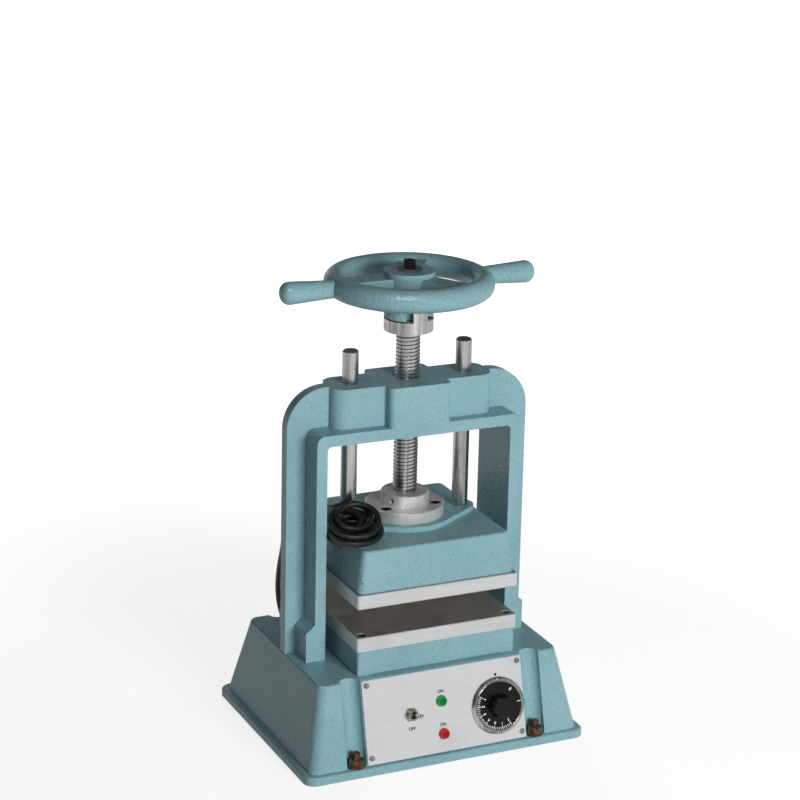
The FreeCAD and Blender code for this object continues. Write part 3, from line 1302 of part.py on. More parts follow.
def thrust_pad():
    """Bronze pad in the casting's well, under the screw's nose."""
    keep(cylinder("thrust_pad_diameter/2", "thrust_pad_thickness", 0, 0,
                  "thrust_pad_top - thrust_pad_thickness"), "thrust_pad")


def screw_retainer():
    """Flange with a hub that holds the screw down, its socket screws and radial set screws."""
    bevel = "retainer_edge"
    flange = "retainer_diameter/2"
    hub = "hub_diameter/2"
    bore = "screw_diameter/2 + running_gap"
    retainer = turned("retainer", [
        (bore, PAD_TOP), (flange, PAD_TOP), (flange, RETAINER_TOP + " - " + bevel),
        (flange + " - " + bevel, RETAINER_TOP), (hub, RETAINER_TOP), (hub, HUB_TOP + " - " + bevel),
        (hub + " - " + bevel, HUB_TOP), (bore, HUB_TOP)])
    heads = sketch(retainer, "XY_Plane", lift=RETAINER_TOP)
    shanks = sketch(retainer, "XY_Plane", lift=RETAINER_TOP)
    screws = []
    for x, y in retainer_screw_spots():
        circle(heads, "retainer_screw_head/2 + 2*screw_gap", x, y)
        circle(shanks, "retainer_screw/2 + screw_gap", x, y)
        fastener = screw("retainer_screw_head/2", "retainer_screw_head_height", "retainer_screw/2",
                         "retainer_thickness - retainer_counterbore + retainer_screw_grip")
        socket = hexagon("cap_socket", "2*cap_socket_depth",
                         z="retainer_screw_head_height - cap_socket_depth")
        screws.append(place(cut(fastener, socket), x, y, RETAINER_TOP + " - retainer_counterbore"))
    pocket(retainer, heads, "retainer_counterbore")
    pocket(retainer, shanks, "retainer_thickness")

    holes = []
    set_screws = []
    tip = "(groove_diameter/2 + point_gap)"
    start = "(screw_diameter/2 + running_gap)"
    for step in range(3):
        bearing = "set_screw_angle + {}".format(120 * step)
        hole = group([turn(cylinder("set_screw/2 + screw_gap/2", flange), Y_AXIS, 90)])
        holes.append(place(turn(hole, Z_AXIS, bearing), z=GROOVE_MIDDLE))
        point = turn(cylinder("set_screw_point/2", "{} - {} + {}".format(start, tip, OVERLAP), x=tip),
                     Y_AXIS, 90)
        shank = turn(cylinder("set_screw/2", "set_screw_length", x=start), Y_AXIS, 90)
        set_screws.append(place(turn(fuse(point, shank), Z_AXIS, bearing), z=GROOVE_MIDDLE))
    keep(cut(retainer, *holes), "screw_retainer_flange")
    keep(group(screws), "retainer_flange_screws")
    keep(group(set_screws), "retainer_set_screws")


def lead_screw():
    """Screw: nose, groove for the set screws, plain thread envelope, journal with a tapped end."""
    nose = "thrust_pad_top + nose_gap"
    radius = "screw_diameter/2"
    groove = "groove_diameter/2"
    low = GROOVE_MIDDLE + " - groove_height/2"
    high = GROOVE_MIDDLE + " + groove_height/2"
    shaft = turned("screw", [
        (0, nose), ("screw_nose/2", nose), ("screw_nose/2", nose + " + nose_length"),
        (radius, nose + " + nose_length"), (radius, low), (groove, low), (groove, high),
        (radius, high), (radius, "screw_shoulder"), ("journal_diameter/2", "screw_shoulder"),
        ("journal_diameter/2", "journal_top - retainer_edge"),
        ("journal_diameter/2 - retainer_edge", "journal_top"), (0, "journal_top")])
    cross = circle(sketch(shaft, "YZ_Plane"), "pin_diameter/2 + pin_gap", 0, PIN_HEIGHT)
    pocket(shaft, cross, "screw_diameter", both=True)
    tap = circle(sketch(shaft, "XY_Plane", lift="journal_top"), "cap_screw/2 + screw_gap")
    pocket(shaft, tap, "cap_screw_length")
    keep(shaft, "lead_screw")


def dog_collar():
    """Collar with two driving dogs, pinned through the screw."""
    bore = "journal_diameter/2 + running_gap"
    collar = turned("collar", [
        (bore, "screw_shoulder"), ("collar_diameter/2", "screw_shoulder"),
        ("collar_diameter/2", COLLAR_TOP), (bore, COLLAR_TOP)])
    dogs = sketch(collar, "XY_Plane", lift=COLLAR_TOP)
    for opposite in (0, 180):
        sector(dogs, "dog_inner_radius", "collar_diameter/2", "dog_angle + {}".format(opposite),
               "dog_sweep")
    pad(collar, dogs, "dog_height")
    cross = circle(sketch(collar, "YZ_Plane"), "pin_diameter/2 + pin_gap", 0, PIN_HEIGHT)
    pocket(collar, cross, "collar_diameter + {}".format(OVERCUT), both=True)
    keep(collar, "dog_collar")
    pin = turn(cylinder("pin_diameter/2", "collar_diameter - 2*pin_recess",
                        "pin_recess - collar_diameter/2", 0, PIN_HEIGHT), Y_AXIS, 90)
    keep(pin, "collar_pin")


def handwheel():
    """Cast handwheel: round rim with two handles, three spokes, and a hub with driving lugs."""
    wheel = body("wheel")
    bore = "journal_diameter/2 + running_gap"
    low = COLLAR_TOP + " + hub_gap"
    disc_low = "hub_top - hub_disc_thickness"
    hub = polygon(sketch(wheel, "XZ_Plane"), [
        (bore, low), ("sleeve_radius", low), ("sleeve_radius", CUP_FLOOR), ("cup_radius", CUP_FLOOR),
        ("cup_radius", CUP_FLOOR + " + cup_thickness"),
        ("barrel_radius", CUP_FLOOR + " + 1.5*cup_thickness"), ("barrel_radius", disc_low + " - hub_cone"),
        ("hub_disc_radius", disc_low), ("hub_disc_radius", "hub_top"), (bore, "hub_top")])
    spin(wheel, hub)
    lugs = sketch(wheel, "XY_Plane", lift=COLLAR_TOP + " + lug_gap")
    for opposite in (0, 180):
        sector(lugs, "sleeve_radius - {}".format(OVERLAP), "cup_radius",
               "lug_angle + {}".format(opposite), "lug_sweep")
    pad(wheel, lugs, "dog_height + dog_clearance - lug_gap + cup_thickness/2")
    arm = rounded_rectangle(sketch(wheel, "XY_Plane", lift="spoke_top - spoke_thickness"),
                            "rim_radius - barrel_radius + spoke_root", "spoke_width", "spoke_corner",
                            "-(rim_radius + barrel_radius - spoke_root)/2", 0)
    spoke = pad(wheel, arm, "spoke_thickness")
    spokes = wheel.newObject("PartDesign::PolarPattern", "spokes")
    spokes.Originals = [spoke]
    axis = [feature for feature in wheel.Origin.OriginFeatures if feature.Role == "Z_Axis"][0]
    spokes.Axis = (axis, [""])
    spokes.Angle = 360
    spokes.Occurrences = 3
    wheel.Tip = spokes
    spin(wheel, circle(sketch(wheel, "XZ_Plane"), "rim_section", "rim_radius", "rim_height"))
    handles = sketch(wheel, "XZ_Plane", slide="rim_height")
    for side in SIDES:
        polygon(handles, [
            ("{}*rim_radius".format(side), 0), ("{}*rim_radius".format(side), "handle_root"),
            ("{}*handle_reach".format(side), "handle_end"), ("{}*handle_reach".format(side), 0)])
    spin(wheel, handles, axis="H_Axis")
    reach = number("handle_reach")
    fillet(wheel, "handle_rounding", lambda bounds: bounds.XLength < 0.01
           and abs(abs(bounds.XMin) - reach) < 0.01 and bounds.YLength > 1)
    keep(wheel, "handwheel")


def wheel_fastening():
    """Washer and socket cap screw in the journal's end."""
    washer = cut(cylinder("cap_washer_diameter/2", "cap_washer_thickness", z="journal_top"),
                 cylinder("cap_screw/2 + screw_gap", "2*cap_washer_thickness", z="journal_top"))
    keep(washer, "wheel_washer")
    fastener = screw("cap_head/2", "cap_head_height", "cap_screw/2", "cap_screw_length")
    socket = hexagon("cap_socket", "2*cap_socket_depth", z="cap_head_height - cap_socket_depth")
    keep(place(cut(fastener, socket), z="journal_top + cap_washer_thickness"), "wheel_retaining_screw")


# Glands and mains cord

def gland():
    """Cable gland: hexagon, dome and spigot, bored through; its own +Z points out of the wall."""
    base = hexagon("gland_flats", "gland_hexagon_height")
    dome = cone("gland_dome/2", "gland_dome/2 - gland_taper", "gland_length")
    spigot = cylinder("gland_hole/2 - screw_gap", "base_wall + {}".format(OVERLAP), z="-base_wall")
    bore = cylinder("gland_bore/2", "gland_length + 2*base_wall", z="-1.5*base_wall")
    return cut(fuse(base, dome, spigot), bore)


def rear_fittings():
    """Strain relief of the mains cord and both glands of the upper heater's lead."""
    relief = turned("relief", [
        (0, "-base_wall"), ("gland_hole/2 - screw_gap", "-base_wall"),
        ("gland_hole/2 - screw_gap", 0), ("relief_flange/2", 0),
        ("relief_flange/2", "relief_flange_thickness"), ("relief_neck/2", "relief_flange_thickness"),
        ("relief_tip/2", "relief_length"), (0, "relief_length")])
    keep(on_face(relief, "cord_exit_x", GLAND_DROP, front=1), "cord_strain_relief")
    keep(on_face(gland(), "base_gland_x", GLAND_DROP, front=1), "base_lead_gland")
    keep(on_casting_rear(gland(), "upper_gland_x", "upper_gland_drop"), "upper_lead_gland")


def relief_axis(out):
    """A point on the strain relief's axis, outside the wall."""
    return ("cord_exit_x",
            "base_top_depth/2 + {0}*sin({1}) + {2}*cos({1})".format(GLAND_DROP, FACE_ANGLE, out),
            "cord_exit_height + {}*sin({})".format(out, FACE_ANGLE))


# The cord's way from the strain relief to its turns: up behind the base and forward past the column.
CORD_ROUTE = [
    relief_axis("relief_length"), relief_axis("(relief_length + cord_lead)"),
    ("cord_exit_x", 184.5, 85), ("cord_exit_x", 190, 102), (-84, 187, 121), (-85.5, 177, 146),
    (-88.5, 160, 172), (-97, 136, 197), (-104.5, 106, 217), (-105.5, 79, 239), (-105.3, 60, 260),
    ("cord_join_x", 40, "cord_join_z"), ("cord_join_x", "cord_join_y", "cord_join_z")]
TUBE_SHARE = 0.45


def swept_tube(points, radius):
    """A round tube along straight runs joined by tangent arcs as large as the runs allow."""
    edges = []
    last = points[0]
    for before, corner, after in zip(points, points[1:], points[2:]):
        back = before - corner
        ahead = after - corner
        half_turn = (math.pi - back.getAngle(ahead)) / 2
        bend = TUBE_SHARE * min(back.Length, ahead.Length) / math.tan(half_turn)
        reach = bend * math.tan(half_turn)
        enter = corner + back.normalize() * reach
        leave = corner + ahead.normalize() * reach
        inward = (back + ahead).normalize()
        middle = corner + inward * (bend / math.cos(half_turn) - bend)
        edges.append(Part.LineSegment(last, enter).toShape())
        edges.append(Part.Arc(enter, middle, leave).toShape())
        print("bend radius {:.1f} mm".format(bend))
        last = leave
    edges.append(Part.LineSegment(last, points[-1]).toShape())
    path = Part.Wire(edges)
    length = path.Length
    direction = (points[1] - points[0]).normalize()
    ring = Part.Wire([Part.Circle(points[0], direction, radius).toShape()])
    tube = path.makePipeShell([ring], True, False, 1)
    expected = math.pi * radius ** 2 * length
    print("tube length {:.1f} mm, volume {:.4f} of section times length".format(
        length, tube.Volume / expected))
    if abs(tube.Volume / expected - 1) > 0.01:
        raise ValueError("the tube's volume differs from its section times its length")
    return tube


def mains_cord():
    """Mains cord: the rising stretch, its loose turns leaning on the left guide rod, and the plug."""
    riser = doc.addObject("Part::Feature", "riser")
    points = [FreeCAD.Vector(*(number(value) for value in point)) for point in CORD_ROUTE]
    riser.Shape = swept_tube(points, number("cord_diameter") / 2)
    keep(riser, "cord_riser")

    low = CASTING_TOP + " + cord_clearance"
    bottom = low + " - coil_droop"
    height = "(coil_height + coil_droop)"
    lid = box("4*coil_radius", "4*coil_radius", "2*coil_height")
    turn(lid, X_AXIS, "coil_slope")
    place(lid, "coil_x - 2*coil_radius", "coil_y - coil_radius",
          low + " + coil_height - 2*coil_radius*tan(coil_slope)")
    ledge = box("4*coil_radius", "4*coil_radius", "2*coil_droop",
                "2*coil_radius - casting_bottom_width/2 - cord_clearance", "coil_y", low + " - 2*coil_droop")
    ring = cut(cylinder("coil_radius", height, "coil_x", "coil_y", bottom),
               cylinder("coil_inner_radius", "2*" + height, "coil_x", "coil_y", bottom + " - coil_droop"),
               lid, ledge)
    entry = turn(cylinder("cord_diameter/2", "cord_join_y - coil_y", "cord_join_x", "coil_y", "cord_join_z"),
                 X_AXIS, -90)
    plug_front = "plug_y - plug_length/2"
    plug_middle = low + " + plug_height/2"
    leave_y = "(coil_y + (coil_radius + coil_inner_radius)/2)"
    exit_length = plug_front + " - " + leave_y
    exit_stub = turn(cylinder("cord_diameter/2", exit_length, "plug_x", leave_y, plug_middle), X_AXIS, -90)
    keepout = body("keepout")
    grown = oval(sketch(keepout, "XY_Plane", lift=CASTING_TOP), "pad_radius + cord_clearance",
                 "pad_end_radius + cord_clearance", "rod_spacing/2")
    pad(keepout, grown, "pad_height + cord_clearance")
    keep(cut(fuse(ring, entry, exit_stub), keepout), "cord_coil")

    plug = slab("plug", "plug_width", "plug_length", "plug_corner", "plug_height", z=low)
    place(plug, "plug_x", "plug_y")
    blades = []
    for side in SIDES:
        blades.append(box("blade_thickness", "blade_length", "blade_width",
                          "plug_x + {}*blade_spacing/2".format(side),
                          "plug_y + plug_length/2 + blade_length/2 - {}".format(OVERLAP), plug_middle))
    earth = turn(cylinder("earth_pin/2", "earth_pin_length + {}".format(OVERLAP), "plug_x",
                          "plug_y + plug_length/2 - {}".format(OVERLAP),
                          plug_middle + " - plug_height/4"), X_AXIS, -90)
    keep(fuse(plug, earth, *blades), "power_plug")


def build():
    """Make every piece."""
    base_casting()
    hold_down()
    bottom_cover()
    terminal_block()
    front_panel()
    toggle_switch()
    pilot_lamp("power_lamp", "power_lamp_drop")
    pilot_lamp("heat_lamp", "heat_lamp_drop")
    thermostat()
    dial_knob()
    lower_platen_block()
    lower_heat_plate()
    flat_sheet("lower_insulation", "insulation_thickness", BLOCK_TOP, hole=True)
    flat_sheet("lower_heater", "heater_thickness", BLOCK_TOP + " + insulation_thickness", hole=True)
    plate_screws("lower_plate_screws", LOWER_PLATE_TOP + " - counterbore_depth", False,
                 "lower_plate_thickness - counterbore_depth + plate_screw_grip")
    thermostat_bulb()
    keep(heat_plate(UPPER_PLATE_BOTTOM, "upper_plate_thickness", CASTING_BOTTOM, UPPER_PLATE_BOTTOM),
         "upper_heat_plate")
    flat_sheet("upper_heater", "heater_thickness", "{} - {}".format(CASTING_BOTTOM, POCKET_DEPTH))
    flat_sheet("upper_insulation", "insulation_thickness", CASTING_BOTTOM + " - insulation_thickness")
    plate_screws("upper_plate_screws", UPPER_PLATE_BOTTOM + " + counterbore_depth", True,
                 "upper_plate_thickness - counterbore_depth + plate_screw_grip")
    upper_platen_casting()
    guide_rods()
    press_frame()
    thrust_pad()
    screw_retainer()
    lead_screw()
    dog_collar()
    handwheel()
    wheel_fastening()
    rear_fittings()
    mains_cord()


def check():
    """Stop if any object failed, any cut removed nothing, or any piece isn't sound."""
    doc.recompute()
    for item in doc.Objects:
        if "Invalid" in item.State or "Error" in item.State:
            raise ValueError("{} ({}) failed: {}".format(item.Label, item.Name, item.State))
        if item.TypeId in ("PartDesign::Pocket", "PartDesign::SubtractiveWedge"):
            if item.Shape.Volume > item.BaseFeature.Shape.Volume - 1:
                raise ValueError("{} cuts nothing".format(item.Name))
        if item.TypeId == "Sketcher::SketchObject" and not item.FullyConstrained:
            raise ValueError("{} of {} isn't fully constrained".format(item.Name, item.getParent().Name))
    for piece in pieces:
        if piece.Shape.isNull() or not piece.Shape.isValid() or not piece.Shape.Solids:
            raise ValueError("{} has no sound solid".format(piece.Label))


def export():
    """Write each piece to its own STEP file."""
    os.makedirs("parts", exist_ok=True)
    for piece in pieces:
        piece.Shape.exportStep("parts/{}.step".format(piece.Label))
        print("{:24s} {:2d} solids {:12.1f} mm3".format(
            piece.Label, len(piece.Shape.Solids), piece.Shape.Volume))


fill_sheet()
build()
check()
export()
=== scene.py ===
"""Rubber mold vulcanizer: cord, threads, dial markings, materials, light and camera round the CAD frame.

Places and sizes are in millimetres, with X to the right, Y to the back and Z up; MM or mm() turns them into
metres. Only the textures, the floor and the lamps are given in metres.
"""
import json
import math

import bmesh
import bpy
import numpy as np
from mathutils import Matrix, Vector


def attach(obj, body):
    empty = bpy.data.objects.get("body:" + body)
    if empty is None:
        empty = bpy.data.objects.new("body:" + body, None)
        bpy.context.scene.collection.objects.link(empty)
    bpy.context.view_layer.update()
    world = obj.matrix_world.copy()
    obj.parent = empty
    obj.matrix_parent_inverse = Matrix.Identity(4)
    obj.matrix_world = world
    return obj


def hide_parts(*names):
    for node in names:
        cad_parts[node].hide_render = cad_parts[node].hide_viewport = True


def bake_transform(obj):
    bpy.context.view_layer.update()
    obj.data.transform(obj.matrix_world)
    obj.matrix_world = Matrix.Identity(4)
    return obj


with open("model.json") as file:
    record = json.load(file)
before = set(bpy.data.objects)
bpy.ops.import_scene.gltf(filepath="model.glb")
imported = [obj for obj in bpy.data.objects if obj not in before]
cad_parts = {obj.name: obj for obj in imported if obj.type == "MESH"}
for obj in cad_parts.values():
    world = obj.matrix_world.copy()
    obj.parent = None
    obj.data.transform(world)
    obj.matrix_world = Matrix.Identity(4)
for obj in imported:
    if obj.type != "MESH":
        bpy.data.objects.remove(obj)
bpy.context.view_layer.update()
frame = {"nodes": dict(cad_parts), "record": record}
NODES = frame["nodes"]
MM = 0.001


def mm(*values):
    """Point from millimetres."""
    return Vector(values) * MM


def node_box(name):
    """Lowest and highest corner of a CAD node, to a micron."""
    node = NODES[name]
    corners = [node.matrix_world @ Vector(corner) for corner in node.bound_box]
    return [[round(pick(corner[axis] for corner in corners) / MM, 3) for axis in range(3)]
            for pick in (min, max)]


def middle_of(name, axis):
    """Middle of a CAD node along an axis."""
    low, high = node_box(name)
    return (low[axis] + high[axis]) / 2


def add_object(name, data):
    """New object in the scene."""
    thing = bpy.data.objects.new(name, data)
    bpy.context.scene.collection.objects.link(thing)
    return thing


# ---------------------------------------------------------------- camera
CAMERA_TARGET = (200.078, 0, 438.587)
CAMERA_DISTANCE = 3060.577
CAMERA_AZIMUTH = math.radians(28.281)
CAMERA_ELEVATION = math.radians(16.365)
CAMERA_ROLL = math.radians(2.329)
FOCAL_PIXELS = 2556.56
PRINCIPAL_PIXEL = (560, 350)
IMAGE_PIXELS = 800
SENSOR_WIDTH = 36.0


def add_camera():
    """The photograph's own viewpoint, with its picture centre off the lens axis."""
    level = math.cos(CAMERA_ELEVATION)
    back = Vector((-math.sin(CAMERA_AZIMUTH) * level, -math.cos(CAMERA_AZIMUTH) * level,
                   math.sin(CAMERA_ELEVATION)))
    right = (-back).cross(Vector((0, 0, 1))).normalized()
    up = right.cross(-back)
    across = math.cos(CAMERA_ROLL) * right + math.sin(CAMERA_ROLL) * up
    upward = -math.sin(CAMERA_ROLL) * right + math.cos(CAMERA_ROLL) * up
    data = bpy.data.cameras.new("camera")
    data.sensor_width = SENSOR_WIDTH
    data.lens = FOCAL_PIXELS / IMAGE_PIXELS * SENSOR_WIDTH
    data.shift_x = (IMAGE_PIXELS / 2 - PRINCIPAL_PIXEL[0]) / IMAGE_PIXELS
    data.shift_y = (PRINCIPAL_PIXEL[1] - IMAGE_PIXELS / 2) / IMAGE_PIXELS
    camera = add_object("camera", data)
    place = Matrix.Translation(mm(*CAMERA_TARGET) + CAMERA_DISTANCE * MM * back)
    camera.matrix_world = place @ Matrix((across, upward, back)).transposed().to_4x4()
    bpy.context.scene.camera = camera


add_camera()


# ---------------------------------------------------------------- shapes
def shade(mesh, angle):
    """Smooth shading with edges sharper than an angle kept crisp."""
    mesh.polygons.foreach_set("use_smooth", [True] * len(mesh.polygons))
    mesh.set_sharp_from_angle(angle=math.radians(angle))


def new_piece(name, work, body, smooth=40):
    """Piece from a bmesh, shaded smooth up to an angle, riding on a body."""
    bmesh.ops.recalc_face_normals(work, faces=work.faces)
    mesh = bpy.data.meshes.new(name)
    work.to_mesh(mesh)
    work.free()
    shade(mesh, smooth)
    thing = add_object(name, mesh)
    if body:
        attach(thing, body)
    return thing


def tube(work, line, radius, sides=14):
    """Closed round tube along a line in metres; its radius is a function of the share of the line passed."""
    rings = []
    normal = None
    for i, point in enumerate(line):
        ahead = (line[min(i + 1, len(line) - 1)] - line[max(i - 1, 0)]).normalized()
        if normal is None:
            normal = ahead.orthogonal().normalized()
        normal = (normal - ahead * normal.dot(ahead)).normalized()
        other = ahead.cross(normal)
        size = radius(i / (len(line) - 1)) * MM
        rings.append([work.verts.new(point + size * (math.cos(a) * normal + math.sin(a) * other))
                      for a in (math.tau * k / sides for k in range(sides))])
    for low, high in zip(rings, rings[1:]):
        for k in range(sides):
            work.faces.new((low[k], low[(k + 1) % sides], high[(k + 1) % sides], high[k]))
    work.faces.new(rings[0][::-1])
    work.faces.new(rings[-1])


def lathe(work, profile, sides, at=Matrix.Identity(4)):
    """Closed solid of revolution about a frame's Z from (radius, height) pairs."""
    rings = []
    for radius, height in profile:
        if radius == 0:
            rings.append([work.verts.new(at @ mm(0, 0, height))])
            continue
        rings.append([work.verts.new(at @ mm(radius * math.cos(a), radius * math.sin(a), height))
                      for a in (math.tau * k / sides for k in range(sides))])
    for low, high in zip(rings, rings[1:] + rings[:1]):
        for k in range(sides):
            after = (k + 1) % sides
            if len(low) == 1 and len(high) == 1:
                break
            if len(low) == 1:
                work.faces.new((low[0], high[k], high[after]))
            elif len(high) == 1:
                work.faces.new((low[k], low[after], high[0]))
            else:
                work.faces.new((low[k], low[after], high[after], high[k]))


# along one pitch of a thread: share of the pitch passed and share of the depth cut away there
THREAD_PROFILE = ((0.0, 0), (0.36, 0), (0.5, 1), (0.86, 1))
# the plain bar inside a thread is a little thinner than its root
CORE_GAP = 0.02


def thread(work, radius, pitch, depth, span, sides, centre=(0, 0)):
    """Closed round bar between two heights with a right-hand thread of flat crests and roots."""
    low, high = span
    rows = []
    for turn in range(-1, int((high - low) / pitch) + 2):
        for along, cut in THREAD_PROFILE:
            row = []
            for k in range(sides):
                z = low + pitch * (turn + along + k / sides)
                kept = min(max(z, low), high)
                size = radius - depth * (cut if kept == z else 1)
                angle = math.tau * k / sides
                row.append(work.verts.new(mm(centre[0] + size * math.cos(angle),
                                             centre[1] + size * math.sin(angle), kept)))
            rows.append(row)
    step = len(THREAD_PROFILE)
    for j in range(len(rows) - 1):
        for k in range(sides - 1):
            work.faces.new((rows[j][k], rows[j][k + 1], rows[j + 1][k + 1], rows[j + 1][k]))
        if j + step + 1 < len(rows):
            work.faces.new((rows[j][-1], rows[j + step][0], rows[j + step + 1][0], rows[j + 1][-1]))
    bmesh.ops.remove_doubles(work, verts=[v for row in rows for v in row], dist=1e-6)
    bmesh.ops.dissolve_degenerate(work, edges=work.edges[:], dist=1e-6)
    bmesh.ops.holes_fill(work, edges=[edge for edge in work.edges if edge.is_boundary], sides=0)


# ---------------------------------------------------------------- mains cord
# the cord's diameter
CORD = 6.6
# the riser's route, from the strain relief up behind the base to the top of the upper platen
CORD_ROUTE = [
    (-83, 153.01, 67.56), (-83, 171.01, 72.25), (-83, 184.5, 85), (-83, 190, 102), (-84, 187, 121),
    (-85.5, 177, 146), (-88.5, 160, 172), (-97, 136, 197), (-104.5, 106, 217), (-105.5, 79, 239),
    (-105.3, 60, 260), (-105, 40, 268), (-105, 21, 268)]
# each turn as it is thrown down: outward, upward, its centre's shift right and back, its tilt to the right,
# and how far its left front hangs over the casting's edge
TURNS = [
    (6.5, 0.0, -1.0, 0.0, 0.0, 15.0), (-2.2, 0.0, 0.0, 1.0, 0.0, 2.0), (1.0, 7.6, -3.5, -2.0, 2.0, 12.0),
    (-5.0, 8.6, 3.0, 2.5, -2.0, 0.0), (7.5, 14.0, -2.0, -2.5, 4.0, 16.0), (-2.0, 16.5, -3.0, 3.0, -4.0, 9.0),
    (4.5, 22.5, 2.0, -1.5, -3.0, 12.0), (-1.0, 25.0, -1.0, 0.0, 3.0, 6.0)]
# the turns' usual radius, how much longer they are from front to back, and how far their back stands up
TURN_RADIUS = 20.9
TURN_STRETCH = 1
TURN_SLANT = 3
TURN_CENTRE = (-83.0, -41.0)
TURNS_START = (-105.6, 5, 267.5)
START_BEARING = 165
DROOP_BEARING = 200
TURN_POINTS = 14
# share of a turn from which it blends into the next, and share of the last turn left out
BLEND_FROM = 0.6
LEFT_OUT = 0.27
# from the last turn round the guide rod's front to the plug
CORD_END = [
    (-72, -16.5, 286), (-80, -13.5, 284.5), (-85.5, -6.5, 281.5), (-87.2, 4, 276.5), (-87, 16, 271),
    (-86.4, 29, 267.5), (-86, 42, 266), (-86, 51, 265.9), (-86, 60, 265.9)]

# what the cord lies against: upright rods as x, y, radius and top, then the frame's column and the casting
ROD = (-72, 0, 10.1, 999)
RETAINER = (0, 0, 47.3, 276)
COLUMN_FACE = -114.5
PAD_TOP = node_box("upper_platen_casting")[1][2]
PAD_HEIGHT = 6.0
CASTING_TOP = PAD_TOP - PAD_HEIGHT
CASTING_EDGE = -92
CASTING_SIDE = 60
CASTING_SLOPE = 0.1313
PAD_RADIUS = 56.5
PAD_END_RADIUS = 17.0
PAD_END = 72
# heights over the pad's top between which it pushes the cord, and its share of the push in one pass
PAD_REACH = (-10.5, 7.5)
PAD_SHARE = 0.4
LYING_GAP = 0.3
EDGE_GAP = 0.5
PAD_GAP = 0.4

# how the turns settle: steps and passes in each, sinking per step and the share of steps after which it ends,
# room between strands, how many points along they count as two, the share of a push in a pass, and stiffness
SETTLE_STEPS = 500
SETTLE_PASSES = 2
SINKING = 0.13
SINK_UNTIL = 0.75
STRAND_GAP = 0.75
STRANDS_APART = 4.5
PUSH_SHARE = 0.35
STIFFNESS = 0.03

# the plug's sleeve, on the plug's own axis: the places of its rings along Y, and its radii
SLEEVE_AXIS = (middle_of("power_plug", 0), middle_of("power_plug", 2))
SLEEVE_RINGS = (43, 45, 46, 47, 48, 49, 50, 51, 52, 53, 54, 55, 56, 58.5)
SLEEVE_RADIUS = 3.7
SLEEVE_FLARE = 2.6
SLEEVE_RIB = 0.35


def wound_turns():
    """Loose turns as they are first thrown down, before they settle."""
    points = [TURNS_START]
    for step in range(int(TURN_POINTS * (len(TURNS) - LEFT_OUT))):
        turns = step / TURN_POINTS
        bearing = math.radians(START_BEARING + 360 * turns)
        this = min(int(turns), len(TURNS) - 1)
        shift = min(1, max(0, (turns - int(turns) - BLEND_FROM) / (1 - BLEND_FROM)))
        shift = shift * shift * (3 - 2 * shift)
        after = TURNS[min(this + 1, len(TURNS) - 1)]
        out, lift, right, rear, tilt, droop = (a + (b - a) * shift for a, b in zip(TURNS[this], after))
        radius = TURN_RADIUS + out
        points.append((TURN_CENTRE[0] + right + radius * math.cos(bearing),
                       TURN_CENTRE[1] + rear + (radius + TURN_STRETCH) * math.sin(bearing),
                       PAD_TOP + lift + TURN_SLANT * math.sin(bearing) - tilt * math.cos(bearing)
                       - droop * max(0, math.cos(bearing - math.radians(DROOP_BEARING))) ** 3))
    return points


def push_off(line, radius):
    """Moves the cord's line off what it would pass through: rods, column, casting and pad."""
    push = np.zeros_like(line)
    for x, y, clear, top in (ROD, RETAINER):
        away = line[:, :2] - (x, y)
        far = np.linalg.norm(away, axis=1)
        hit = (far < clear + radius) & (line[:, 2] < top)
        push[hit, :2] += away[hit] / far[hit, None] * (clear + radius - far[hit])[:, None]
    gap = COLUMN_FACE + radius - line[:, 0]
    push[gap > 0, 0] += gap[gap > 0]
    # the casting's flat top, its rounded edge and its sloping side
    face = CASTING_EDGE - np.clip(CASTING_TOP - line[:, 2], 0, CASTING_SIDE) * CASTING_SLOPE
    out = np.maximum(face - line[:, 0], 0)
    over = line[:, 2] - CASTING_TOP
    hit = (out <= 0) & (over < radius + LYING_GAP)
    push[hit, 2] += (radius + LYING_GAP - over)[hit]
    far = np.hypot(out, over)
    hit = (out > 0) & (over > 0) & (far < radius + EDGE_GAP)
    spare = (radius + EDGE_GAP - far) / np.maximum(far, 1e-6)
    push[hit, 0] -= (out * spare)[hit]
    push[hit, 2] += (over * spare)[hit]
    hit = (out > 0) & (over <= 0) & (out < radius + EDGE_GAP)
    push[hit, 0] -= (radius + EDGE_GAP - out)[hit]
    # the oval pad, narrowing from the retainer to the guide rod
    along = np.clip(-line[:, 0] / PAD_END, 0, 1)
    outline = PAD_RADIUS - (PAD_RADIUS - PAD_END_RADIUS) * along
    oval = np.maximum(np.hypot(line[:, 0] + PAD_END * along, line[:, 1]) - outline, 0)
    over = line[:, 2] - PAD_TOP
    near = np.hypot(oval, np.maximum(over, 0)) < radius + PAD_GAP
    hit = near & (over > PAD_REACH[0]) & (over < PAD_REACH[1])
    push[hit, 2] += (radius + PAD_GAP - over)[hit] * PAD_SHARE
    return push


def part_strands(fine, apart):
    """Push on each point of the line that brings touching strands a diameter apart."""
    pitch = CORD + STRAND_GAP
    gaps = fine[:, None] - fine[None]
    far = np.linalg.norm(gaps, axis=2)
    one, other = np.nonzero(apart & (far < pitch))
    near = far[one, other][:, None]
    push = np.zeros_like(fine)
    np.add.at(push, one, gaps[one, other] / np.maximum(near, 1e-6) * (pitch - near) * PUSH_SHARE)
    return push


def keep_length(line, length, free):
    """Moves neighbouring points back to their first distance, every other pair at a time."""
    for odd in (0, 1):
        a = np.arange(odd, len(line) - 1, 2)
        b = a + 1
        run = line[b] - line[a]
        now = np.linalg.norm(run, axis=1)[:, None]
        share = np.maximum(free[a] + free[b], 1e-6)
        fix = (now - length[a][:, None]) / np.maximum(now, 1e-6) / share * run
        line[a] += fix * free[a]
        line[b] -= fix * free[b]


